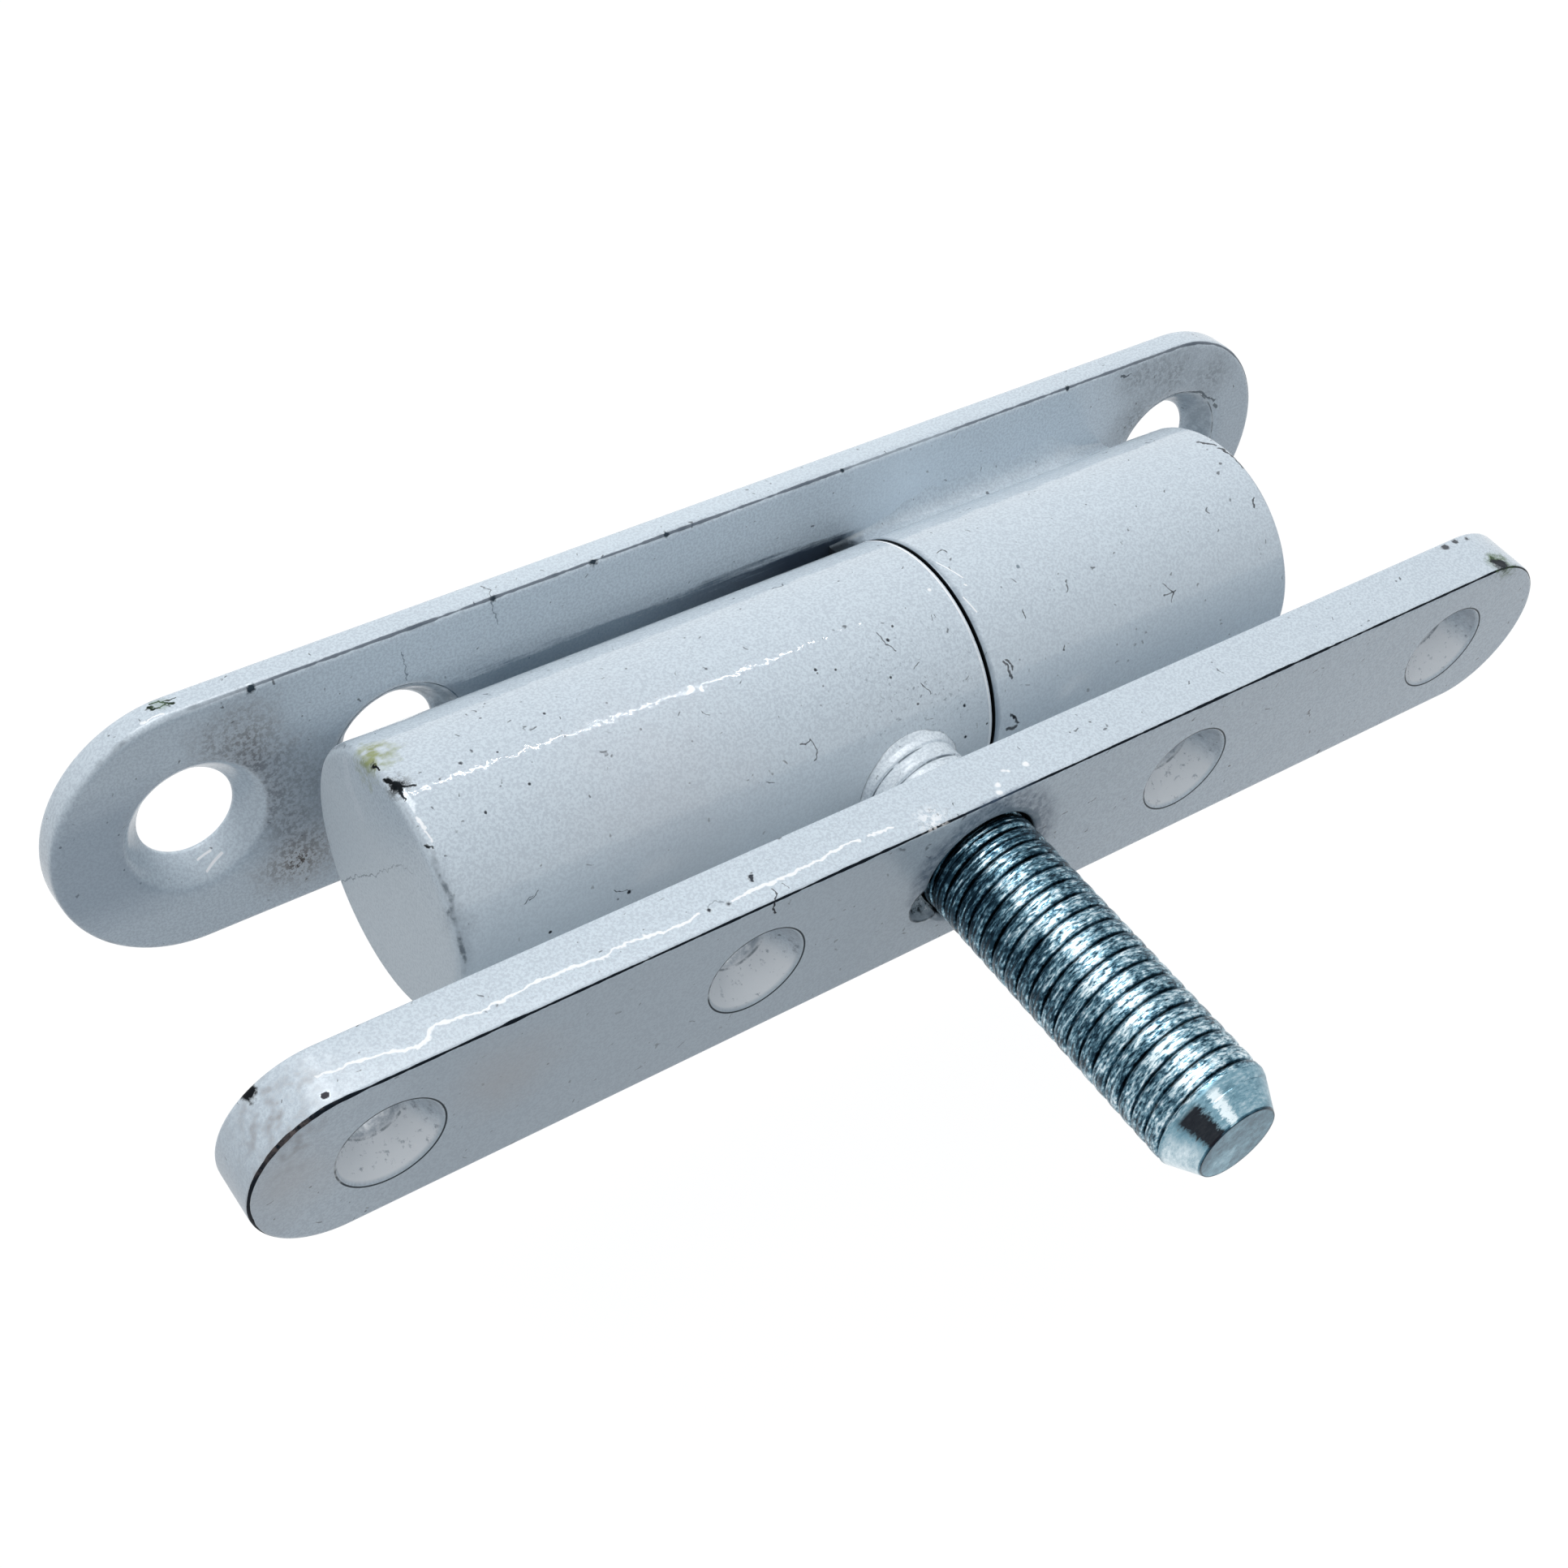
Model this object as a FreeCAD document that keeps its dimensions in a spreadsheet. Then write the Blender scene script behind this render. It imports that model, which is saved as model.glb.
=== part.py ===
import FreeCAD, Part
import math
import os
import Sketcher

# Two-knuckle barrel hinge: a screw-on leaf carries the short knuckle, and the long knuckle carries
# a radial threaded stud with a screw-on strip. Millimetres. X is the hinge axis, the leaf stands
# upright behind it at +Y, and the stud leans down towards the viewer at -Y. The origin is on the
# hinge axis, half way between the two knuckles.

SIZES = {
    "barrel_radius": 11.0,
    "long_knuckle_length": 49.2,
    "short_knuckle_length": 32.6,
    "knuckle_gap": 0.35,
    "knuckle_edge": 0.5,
    "pin_radius": 5.0,
    "pin_clearance": 0.06,
    "pin_in_short_knuckle": 24.0,
    "pin_in_long_knuckle": 30.0,
    "pin_edge": 0.6,
    "ball_radius": 3.2,
    "ball_seat_radius": 2.6,
    "ball_clearance": 0.1,
    "leaf_length": 121.4,
    "leaf_width": 22.8,
    "leaf_thickness": 2.7,
    "leaf_edge": 0.5,
    "leaf_standoff": 2.2,
    "leaf_overhang": 70.0,
    "leaf_hole_radius": 4.0,
    "leaf_sink_radius": 6.4,
    "leaf_left_hole_inset": 11.7,
    "leaf_hole_pitch": 17.5,
    "leaf_right_hole_inset": 10.7,
    "weld_half_height": 5.4,
    "weld_barrel_angle": 26.0,
    "weld_hollow_radius": 3.0,
    "weld_end_inset": 0.8,
    "strip_length": 125.1,
    "strip_width": 15.1,
    "strip_thickness": 5.1,
    "strip_edge": 0.4,
    "strip_standoff": 4.5,
    "strip_hole_radius": 2.5,
    "strip_sink_radius": 4.2,
    "strip_inner_pitch": 42.7,
    "strip_outer_hole_inset": 10.75,
    "strip_mouth_depth": 0.8,
    "notch_radius": 2.9,
    "notch_depth": 1.2,
    "notch_drop": 2.4,
    "stud_radius": 5.0,
    "stud_neck_radius": 4.65,
    "stud_from_joint": 8.4,
    "stud_seat_depth": 4.6,
    "stud_thread_start": 0.3,
    "stud_reach": 30.2,
    "stud_tip_length": 2.8,
    "stud_tip_radius": 3.45,
    "droop_angle": 7.6,
}

# Distances that several pieces share, in the sheet's terms
HALF_GAP = "sizes.knuckle_gap / 2"
LEAF_FRONT = "(sizes.barrel_radius + sizes.leaf_standoff)"
LEAF_LEFT = "(-sizes.leaf_overhang)"
LEAF_RIGHT = "(sizes.leaf_length - sizes.leaf_overhang)"
STRIP_BACK = "(sizes.barrel_radius + sizes.strip_standoff)"
STRIP_FRONT = "(sizes.barrel_radius + sizes.strip_standoff + sizes.strip_thickness)"
STUD_SEAT = "(sizes.barrel_radius - sizes.stud_seat_depth)"
THREAD_START = "(" + STRIP_FRONT + " + sizes.stud_thread_start)"
STUD_TIP = "(" + STRIP_FRONT + " + sizes.stud_reach)"
BALL_CENTRE = "(sqrt(2) * sizes.ball_radius - sizes.ball_seat_radius)"
BORE_DEPTH = "(sizes.pin_in_long_knuckle + " + BALL_CENTRE + " + sizes.ball_radius + sizes.ball_clearance)"

doc = FreeCAD.newDocument("hinge")
sheet = doc.addObject("Spreadsheet::Sheet", "sizes")
for row, (alias, value) in enumerate(SIZES.items(), start=1):
    sheet.set(f"A{row}", alias)
    sheet.set(f"B{row}", str(value))
    sheet.setAlias(f"B{row}", alias)
doc.recompute()


def worth(expression):
    result = sheet.evalExpression(expression)
    return float(getattr(result, "Value", result))


def new_body(name):
    body = doc.addObject("PartDesign::Body", name)
    body.Label = name
    return body


def new_sketch(body, name, role, offset=None):
    sketch = body.newObject("Sketcher::SketchObject", name)
    plane = next(item for item in body.Origin.OriginFeatures if item.Role == role)
    sketch.AttachmentSupport = [(plane, "")]
    sketch.MapMode = "FlatFace"
    if offset:
        sketch.setExpression(".AttachmentOffset.Base.z", offset)
    return sketch


def bind(sketch, constraint, expression):
    index = sketch.addConstraint(constraint)
    sketch.setExpression(f"Constraints[{index}]", expression)


def bind_point(sketch, curve, end, across, up):
    bind(sketch, Sketcher.Constraint("DistanceX", -1, 1, curve, end, worth(across)), across)
    bind(sketch, Sketcher.Constraint("DistanceY", -1, 1, curve, end, worth(up)), up)


def draw_outline(sketch, corners):
    # A closed outline of straight lines, each corner tied to the sizes
    spots = [FreeCAD.Vector(worth(across), worth(up), 0) for across, up in corners]
    count = len(spots)
    for index in range(count):
        sketch.addGeometry(Part.LineSegment(spots[index], spots[(index + 1) % count]), False)
    for index in range(count):
        sketch.addConstraint(Sketcher.Constraint("Coincident", index, 2, (index + 1) % count, 1))
    for index, (across, up) in enumerate(corners):
        bind_point(sketch, index, 1, across, up)


def draw_circle(sketch, across, up, radius):
    centre = FreeCAD.Vector(worth(across), worth(up), 0)
    curve = sketch.addGeometry(Part.Circle(centre, FreeCAD.Vector(0, 0, 1), worth(radius)), False)
    bind_point(sketch, curve, 3, across, up)
    bind(sketch, Sketcher.Constraint("Radius", curve, worth(radius)), radius)


def draw_round_ended_bar(sketch, left, right, width):
    # Two straight edges joined by full half circles
    half = worth(width) / 2
    first, last = worth(left) + half, worth(right) - half
    up = FreeCAD.Vector(0, 0, 1)
    quarter = math.pi / 2
    low_left, low_right = FreeCAD.Vector(first, -half, 0), FreeCAD.Vector(last, -half, 0)
    high_left, high_right = FreeCAD.Vector(first, half, 0), FreeCAD.Vector(last, half, 0)
    sketch.addGeometry(Part.LineSegment(low_left, low_right), False)
    right_end = Part.Circle(FreeCAD.Vector(last, 0, 0), up, half)
    sketch.addGeometry(Part.ArcOfCircle(right_end, -quarter, quarter), False)
    sketch.addGeometry(Part.LineSegment(high_right, high_left), False)
    left_end = Part.Circle(FreeCAD.Vector(first, 0, 0), up, half)
    sketch.addGeometry(Part.ArcOfCircle(left_end, quarter, 3 * quarter), False)
    for curve in range(4):
        sketch.addConstraint(Sketcher.Constraint("Tangent", curve, 2, (curve + 1) % 4, 1))
    for arc in (1, 3):
        sketch.addConstraint(Sketcher.Constraint("PointOnObject", arc, 3, -1))
    bind(sketch, Sketcher.Constraint("Radius", 1, half), f"({width}) / 2")
    first_centre, last_centre = f"{left} + ({width}) / 2", f"{right} - ({width}) / 2"
    bind(sketch, Sketcher.Constraint("DistanceX", -1, 1, 3, 3, worth(first_centre)), first_centre)
    bind(sketch, Sketcher.Constraint("DistanceX", -1, 1, 1, 3, worth(last_centre)), last_centre)


def draw_arc(sketch, start, end, radius):
    # Turns from start to end anticlockwise, the short way round
    chord = end - start
    middle = start + chord * 0.5
    side = FreeCAD.Vector(-chord.y, chord.x, 0).normalize()
    centre = middle + side * (radius ** 2 - (chord.Length / 2) ** 2) ** 0.5
    circle = Part.Circle(centre, FreeCAD.Vector(0, 0, 1), radius)
    first, last = circle.parameter(start), circle.parameter(end)
    sketch.addGeometry(Part.ArcOfCircle(circle, first, last), False)


def turn(body, sketch, axis):
    turned = body.newObject("PartDesign::Revolution", body.Name + "_turned")
    turned.Profile = sketch
    turned.ReferenceAxis = (sketch, [axis])
    turned.Angle = 360
    return turned


def pad(body, sketch, length, backwards=False):
    padded = body.newObject("PartDesign::Pad", sketch.Name + "_pad")
    padded.Profile = sketch
    padded.Reversed = backwards
    padded.setExpression("Length", length)
    return padded


def pocket(body, sketch, length, taper=0.0, outwards=False):
    cut = body.newObject("PartDesign::Pocket", sketch.Name + "_pocket")
    cut.Profile = sketch
    cut.Reversed = outwards
    cut.TaperAngle = taper
    cut.setExpression("Length", length)
    return cut


def ease_rims(body, feature, kind, size, planes):
    # Rounds or bevels the long outer rims that lie in the given planes across Y
    doc.recompute()
    names = []
    for index, edge in enumerate(feature.Shape.Edges, start=1):
        middle = edge.valueAt((edge.FirstParameter + edge.LastParameter) / 2)
        ends = [middle] + [vertex.Point for vertex in edge.Vertexes]
        if any(all(abs(point.y - worth(plane)) < 1e-6 for point in ends) for plane in planes):
            names.append(f"Edge{index}")
    eased = body.newObject("PartDesign::" + kind, body.Name + "_" + kind.lower())
    eased.Base = (feature, names)
    eased.setExpression("Radius" if kind == "Fillet" else "Size", size)
    return eased


def droop(body):
    # The stud side hangs below the level by the droop angle, about the hinge axis
    body.Placement = FreeCAD.Placement(FreeCAD.Vector(), FreeCAD.Rotation(FreeCAD.Vector(1, 0, 0), 1))
    body.setExpression(".Placement.Rotation.Angle", "sizes.droop_angle * 1 deg")


# Wall leaf: a punched flat bar with round ends and countersunk holes along its middle line. The
# punch enters from the barrel's side and rounds that rim over
leaf = new_body("wall_leaf")
leaf.setExpression(".Placement.Base.y", LEAF_FRONT)
leaf_face = new_sketch(leaf, "leaf_face", "XZ_Plane")
draw_round_ended_bar(leaf_face, LEAF_LEFT, LEAF_RIGHT, "sizes.leaf_width")
leaf_blank = pad(leaf, leaf_face, "sizes.leaf_thickness", backwards=True)
leaf_rounded = ease_rims(leaf, leaf_blank, "Fillet", "sizes.leaf_edge", ["0"])
ease_rims(leaf, leaf_rounded, "Chamfer", "sizes.leaf_edge", ["sizes.leaf_thickness"])
LEAF_HOLES = [
    LEAF_LEFT + " + sizes.leaf_left_hole_inset",
    LEAF_LEFT + " + sizes.leaf_left_hole_inset + sizes.leaf_hole_pitch",
    LEAF_RIGHT + " - sizes.leaf_right_hole_inset",
]
leaf_holes = new_sketch(leaf, "leaf_holes", "XZ_Plane")
leaf_sinks = new_sketch(leaf, "leaf_sinks", "XZ_Plane")
for place in LEAF_HOLES:
    draw_circle(leaf_holes, place, "0", "sizes.leaf_hole_radius")
    draw_circle(leaf_sinks, place, "0", "sizes.leaf_sink_radius")
pocket(leaf, leaf_holes, "sizes.leaf_thickness")
pocket(leaf, leaf_sinks, "sizes.leaf_sink_radius - sizes.leaf_hole_radius", taper=-45.0)

# Short knuckle: turned from bar and bored blind for the pin, standing off the leaf
short_knuckle = new_body("short_knuckle")
short_section = new_sketch(short_knuckle, "short_section", "XY_Plane")
SHORT_END = HALF_GAP + " + sizes.short_knuckle_length"
PIN_END = HALF_GAP + " + sizes.pin_in_short_knuckle"
draw_outline(short_section, [
    (HALF_GAP, "sizes.pin_radius"),
    (HALF_GAP, "sizes.barrel_radius - sizes.knuckle_edge"),
    (HALF_GAP + " + sizes.knuckle_edge", "sizes.barrel_radius"),
    (SHORT_END + " - sizes.knuckle_edge", "sizes.barrel_radius"),
    (SHORT_END, "sizes.barrel_radius - sizes.knuckle_edge"),
    (SHORT_END, "0"),
    (PIN_END, "0"),
    (PIN_END, "sizes.pin_radius"),
])
turn(short_knuckle, short_section, "H_Axis")

# Weld: fills the gap between the short knuckle and the leaf, with a hollow bead above and below
weld = new_body("knuckle_weld")
weld_section = new_sketch(weld, "weld_section", "YZ_Plane", HALF_GAP + " + sizes.weld_end_inset")
FOOT_ACROSS = "sizes.barrel_radius * cos(sizes.weld_barrel_angle * 1 deg)"
FOOT_UP = "sizes.barrel_radius * sin(sizes.weld_barrel_angle * 1 deg)"
toe = FreeCAD.Vector(worth(LEAF_FRONT), worth("sizes.weld_half_height"), 0)
foot = FreeCAD.Vector(worth(FOOT_ACROSS), worth(FOOT_UP), 0)
low_toe = FreeCAD.Vector(toe.x, -toe.y, 0)
low_foot = FreeCAD.Vector(foot.x, -foot.y, 0)
hollow = worth("sizes.weld_hollow_radius")
weld_section.addGeometry(Part.LineSegment(low_toe, toe), False)
draw_arc(weld_section, foot, toe, hollow)
draw_arc(weld_section, low_foot, foot, worth("sizes.barrel_radius"))
draw_arc(weld_section, low_toe, low_foot, hollow)
for first, first_end, second, second_end in ((0, 2, 1, 2), (1, 1, 2, 2), (2, 1, 3, 2), (3, 1, 0, 1)):
    weld_section.addConstraint(Sketcher.Constraint("Coincident", first, first_end, second, second_end))
weld_section.addConstraint(Sketcher.Constraint("Coincident", 2, 3, -1, 1))
bind_point(weld_section, 0, 1, LEAF_FRONT, "-sizes.weld_half_height")
bind_point(weld_section, 0, 2, LEAF_FRONT, "sizes.weld_half_height")
bind(weld_section, Sketcher.Constraint("Radius", 2, worth("sizes.barrel_radius")), "sizes.barrel_radius")
bind(weld_section, Sketcher.Constraint("DistanceY", -1, 1, 2, 2, worth(FOOT_UP)), FOOT_UP)
bind(weld_section, Sketcher.Constraint("DistanceY", -1, 1, 2, 1, -worth(FOOT_UP)), "-" + FOOT_UP)
for arc in (1, 3):
    bind(weld_section, Sketcher.Constraint("Radius", arc, hollow), "sizes.weld_hollow_radius")
pad(weld, weld_section, "sizes.short_knuckle_length - 2 * sizes.weld_end_inset")

# Hinge pin: a plain round pin pressed into the short knuckle, cupped at its free end for the ball
pin = new_body("hinge_pin")
pin_section = new_sketch(pin, "pin_section", "XY_Plane")
PIN_START = "(-" + HALF_GAP + " - sizes.pin_in_long_knuckle)"
draw_outline(pin_section, [
    (PIN_START + " + sizes.ball_seat_radius", "0"),
    (PIN_START, "sizes.ball_seat_radius"),
    (PIN_START, "sizes.pin_radius - sizes.pin_edge"),
    (PIN_START + " + sizes.pin_edge", "sizes.pin_radius"),
    (PIN_END, "sizes.pin_radius"),
    (PIN_END, "0"),
])
turn(pin, pin_section, "H_Axis")

# Thrust ball: sits in the pin's cup and takes the weight of the long knuckle
ball = doc.addObject("Part::Sphere", "thrust_ball")
ball.Label = "thrust_ball"
ball.setExpression("Radius", "sizes.ball_radius")
ball.setExpression(".Placement.Base.x", PIN_START + " - " + BALL_CENTRE)

# Long knuckle: turned from bar, bored blind over the pin, with a radial seat for the stud
long_knuckle = new_body("long_knuckle")
long_section = new_sketch(long_knuckle, "long_section", "XY_Plane")
LONG_END = "(-" + HALF_GAP + " - sizes.long_knuckle_length)"
BORE_END = "(-" + HALF_GAP + " - " + BORE_DEPTH + ")"
BORE_RADIUS = "sizes.pin_radius + sizes.pin_clearance"
draw_outline(long_section, [
    ("-" + HALF_GAP, BORE_RADIUS),
    ("-" + HALF_GAP, "sizes.barrel_radius - sizes.knuckle_edge"),
    ("-" + HALF_GAP + " - sizes.knuckle_edge", "sizes.barrel_radius"),
    (LONG_END + " + sizes.knuckle_edge", "sizes.barrel_radius"),
    (LONG_END, "sizes.barrel_radius - sizes.knuckle_edge"),
    (LONG_END, "0"),
    (BORE_END, "0"),
    (BORE_END, BORE_RADIUS),
])
turn(long_knuckle, long_section, "H_Axis")
stud_seat = new_sketch(long_knuckle, "stud_seat", "XZ_Plane", STUD_SEAT)
draw_circle(stud_seat, "-sizes.stud_from_joint", "0", "sizes.stud_neck_radius")
pocket(long_knuckle, stud_seat, "sizes.barrel_radius", outwards=True)
droop(long_knuckle)

# Threaded stud: plated rod with a narrower neck that goes through the strip into the long knuckle.
# Its thread, shown at crest size, starts just in front of the strip and ends in a taper
stud = new_body("threaded_stud")
stud_section = new_sketch(stud, "stud_section", "XY_Plane")
draw_outline(stud_section, [
    ("0", "-" + STUD_SEAT),
    ("sizes.stud_neck_radius", "-" + STUD_SEAT),
    ("sizes.stud_neck_radius", "-" + THREAD_START + " + (sizes.stud_radius - sizes.stud_neck_radius)"),
    ("sizes.stud_radius", "-" + THREAD_START),
    ("sizes.stud_radius", "-" + STUD_TIP + " + sizes.stud_tip_length"),
    ("sizes.stud_tip_radius", "-" + STUD_TIP),
    ("0", "-" + STUD_TIP),
])
turn(stud, stud_section, "V_Axis")
droop(stud)
stud.setExpression(".Placement.Base.x", "-sizes.stud_from_joint")

# Door strip: a thick flat bar run onto the stud's neck and staked fast, countersunk for four screws
strip = new_body("door_strip")
strip_face = new_sketch(strip, "strip_face", "XZ_Plane", STRIP_FRONT)
STRIP_END = "sizes.strip_length / 2"
draw_round_ended_bar(strip_face, "(-" + STRIP_END + ")", "(" + STRIP_END + ")", "sizes.strip_width")
strip_blank = pad(strip, strip_face, "sizes.strip_thickness", backwards=True)
ease_rims(strip, strip_blank, "Chamfer", "sizes.strip_edge", ["-" + STRIP_BACK, "-" + STRIP_FRONT])
strip_holes = new_sketch(strip, "strip_holes", "XZ_Plane", STRIP_FRONT)
strip_sinks = new_sketch(strip, "strip_sinks", "XZ_Plane", STRIP_FRONT)
for place in ("(sizes.strip_inner_pitch / 2)", "(" + STRIP_END + " - sizes.strip_outer_hole_inset)"):
    for side in ("-", ""):
        draw_circle(strip_holes, side + place, "0", "sizes.strip_hole_radius")
        draw_circle(strip_sinks, side + place, "0", "sizes.strip_sink_radius")
draw_circle(strip_holes, "0", "0", "sizes.stud_neck_radius")
pocket(strip, strip_holes, "sizes.strip_thickness")
pocket(strip, strip_sinks, "sizes.strip_sink_radius - sizes.strip_hole_radius", taper=-45.0)
stud_mouth = new_sketch(strip, "stud_mouth", "XZ_Plane", STRIP_FRONT)
draw_circle(stud_mouth, "0", "0", "sizes.stud_neck_radius + sizes.strip_mouth_depth")
pocket(strip, stud_mouth, "sizes.strip_mouth_depth", taper=-45.0)
notch = new_sketch(strip, "stake_notch", "XZ_Plane", STRIP_FRONT)
NOTCH_ACROSS = "-sqrt(sizes.stud_radius ^ 2 - sizes.notch_drop ^ 2)"
draw_circle(notch, NOTCH_ACROSS, "-sizes.notch_drop", "sizes.notch_radius")
pocket(strip, notch, "sizes.notch_depth")
droop(strip)
strip.setExpression(".Placement.Base.x", "-sizes.stud_from_joint")

doc.recompute()
pieces = [leaf, short_knuckle, weld, pin, ball, long_knuckle, stud, strip]
for item in doc.Objects:
    if "Invalid" in item.State or "Error" in item.State:
        raise RuntimeError(f"{item.Name} did not build: {item.State}")
for piece in pieces:
    if piece.Shape.isNull() or not piece.Shape.isValid() or len(piece.Shape.Solids) != 1:
        raise RuntimeError(f"{piece.Label} is not one valid solid")

os.makedirs("parts", exist_ok=True)
for piece in pieces:
    piece.Shape.exportStep(f"parts/{piece.Label}.step")
    box = piece.Shape.optimalBoundingBox()
    print(f"{piece.Label}: {piece.Shape.Volume:.1f} mm3, x {box.XMin:.2f} to {box.XMax:.2f}, "
          f"y {box.YMin:.2f} to {box.YMax:.2f}, z {box.ZMin:.2f} to {box.ZMax:.2f}")
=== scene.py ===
import math

import bmesh
import bpy
from mathutils import Matrix, Vector


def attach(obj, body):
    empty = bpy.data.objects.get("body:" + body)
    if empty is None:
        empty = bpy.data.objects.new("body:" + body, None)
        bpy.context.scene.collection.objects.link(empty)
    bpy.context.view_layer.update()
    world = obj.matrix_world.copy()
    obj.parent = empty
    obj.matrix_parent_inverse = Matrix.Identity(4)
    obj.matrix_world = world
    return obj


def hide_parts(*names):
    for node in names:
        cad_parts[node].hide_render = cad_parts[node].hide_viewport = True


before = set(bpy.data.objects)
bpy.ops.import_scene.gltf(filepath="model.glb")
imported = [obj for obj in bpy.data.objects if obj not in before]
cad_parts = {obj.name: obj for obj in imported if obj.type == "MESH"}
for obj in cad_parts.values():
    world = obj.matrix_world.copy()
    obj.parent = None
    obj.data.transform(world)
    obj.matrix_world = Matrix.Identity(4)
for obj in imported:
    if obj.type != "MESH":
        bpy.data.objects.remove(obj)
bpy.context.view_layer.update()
MM = 0.001
scene = bpy.context.scene
scene.view_settings.view_transform = "Standard"


# ---- Camera ----
# The hinge is seen from its left front, about 20 cm off and well above it. The place, lens and
# slight roll were fitted to the outlines of the barrel, the leaf, the strip and the stud.
STAND_OFF, SHIFT_LEFT, SHIFT_DOWN, SLIDE = 207.43, 10.43, 9.89, 0.175
look_round, look_down, roll = math.radians(-37.24), math.radians(40.659), math.radians(2.975)
back = Vector((
    math.sin(look_round) * math.cos(look_down),
    -math.cos(look_round) * math.cos(look_down),
    math.sin(look_down),
))
level_right = Vector((0, 0, 1)).cross(back).normalized()
level_up = back.cross(level_right)
right = math.cos(roll) * level_right + math.sin(roll) * level_up
up = math.cos(roll) * level_up - math.sin(roll) * level_right
camera = bpy.data.objects.new("camera", bpy.data.cameras.new("camera"))
camera.data.sensor_width = 36.0
camera.data.lens = 56.87
camera.data.clip_start = 0.01
camera.matrix_world = Matrix((right, up, back)).transposed().to_4x4()
aside = right * SHIFT_LEFT + up * SHIFT_DOWN + Vector((SLIDE, 0, 0))
camera.location = (back * STAND_OFF - aside) * MM
scene.collection.objects.link(camera)
scene.camera = camera


# ---- Shader sums ----
# Each finish below is written as sums on the sockets of its nodes, so a socket is wrapped once
# here and Python's own arithmetic adds the Math nodes.
class Signal:
    def __init__(self, tree, socket=None):
        self.tree = tree
        self.socket = socket

    def node(self, kind, settings=None, inputs=None, output=0):
        node = self.tree.nodes.new("ShaderNode" + kind)
        for name, value in (settings or {}).items():
            if name == "stops":
                while len(node.color_ramp.elements) < len(value):
                    node.color_ramp.elements.new(0.5)
                for stop, (position, colour) in zip(node.color_ramp.elements, value):
                    stop.position = position
                    stop.color = (*colour, 1.0)
            else:
                setattr(node, name, value)
        for name, value in (inputs or {}).items():
            if isinstance(value, Signal):
                self.tree.links.new(value.socket, node.inputs[name])
            else:
                node.inputs[name].default_value = value
        return Signal(self.tree, node.outputs[output] if node.outputs else None)

    def maths(self, operation, *terms):
        return self.node("Math", {"operation": operation}, dict(enumerate(terms)))

    def vector(self, operation, *terms, output=0):
        return self.node("VectorMath", {"operation": operation}, dict(enumerate(terms)), output)

    def __add__(self, other):
        return self.maths("ADD", self, other)

    def __sub__(self, other):
        return self.maths("SUBTRACT", self, other)

    def __rsub__(self, other):
        return self.maths("SUBTRACT", other, self)

    def __mul__(self, other):
        return self.maths("MULTIPLY", self, other)

    def __truediv__(self, other):
        return self.maths("DIVIDE", self, other)

    def __pow__(self, other):
        return self.maths("POWER", self, other)

    def __abs__(self):
        return self.maths("ABSOLUTE", self)

    __radd__ = __add__
    __rmul__ = __mul__

    def at_least(self, other):
        return self.maths("MAXIMUM", self, other)

    def at_most(self, other):
        return self.maths("MINIMUM", self, other)

    def held(self):
        return self.at_least(0.0).at_most(1.0)

    def above(self, edge, steepness):
        # A mask that rises from nothing at an edge
        return ((self - edge) * steepness).held()

    def below(self, edge, steepness):
        return ((edge - self) * steepness).held()

    def part(self, axis):
        return self.node("SeparateXYZ", None, {0: self}, output="XYZ".index(axis))

    def parts(self):
        return [self.part(axis) for axis in "XYZ"]

    def noise(self, scale, detail=2.0, roughness=0.5, output=0):
        return self.node("TexNoise", None, {
            "Vector": self, "Scale": scale, "Detail": detail, "Roughness": roughness}, output)

    def stretched(self, scale, detail=4.0, roughness=0.6):
        # Noise that is drawn out along some directions
        return self.node("Mapping", None, {0: self, "Scale": scale}).noise(1.0, detail, roughness)

    def mix(self, mask, colour, laid_over):
        # One colour over another, as far as the mask goes
        under = colour if isinstance(colour, Signal) else (*colour, 1)
        return self.node("Mix", {"data_type": "RGBA"}, {0: mask, 6: under, 7: (*laid_over, 1)},
            output=2)


def cleared(owner):
    # The emptied node tree of a material or the world, ready for its first sum
    owner.use_nodes = True
    owner.node_tree.nodes.clear()
    return Signal(owner.node_tree)


def hypot(first, second):
    return (first ** 2 + second ** 2) ** 0.5


def in_view(start):
    # One where the camera looks straight or through a mirror image, nothing for soft light
    rays = [start.node("LightPath", output=f"Is {kind} Ray")
        for kind in ("Camera", "Glossy", "Transmission")]
    return (rays[0] + rays[1] + rays[2]).held()


# ---- Table and backdrop ----
# The hinge hangs over a plain white sheet, low enough for the stud to swing down. The sheet is as
# white as the picture's ground, also where the metal mirrors it, and clear when seen from below.
SWING = 0.0515
table = bmesh.new()
bmesh.ops.create_grid(table, x_segments=1, y_segments=1, size=3.0)
bmesh.ops.translate(table, verts=table.verts, vec=(0, 0, -SWING))
sheet_mesh = bpy.data.meshes.new("table")
table.to_mesh(sheet_mesh)
sheet = bpy.data.objects.new("table", sheet_mesh)
scene.collection.objects.link(sheet)

sheet_paint = bpy.data.materials.new("white_sheet")
start = cleared(sheet_paint)
matte = start.node("BsdfDiffuse", None, {"Color": (0.46, 0.48, 0.50, 1)})
glow = start.node("Emission", None, {"Color": (1, 1, 1, 1), "Strength": 1.13})
white = start.node("MixShader", None, {0: in_view(start) * 0.86, 1: matte, 2: glow})
below = start.node("NewGeometry", output="Backfacing")
start.node("OutputMaterial", None, {
    0: start.node("MixShader", None, {0: below, 1: white, 2: start.node("BsdfTransparent")})})
sheet_mesh.materials.append(sheet_paint)

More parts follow.
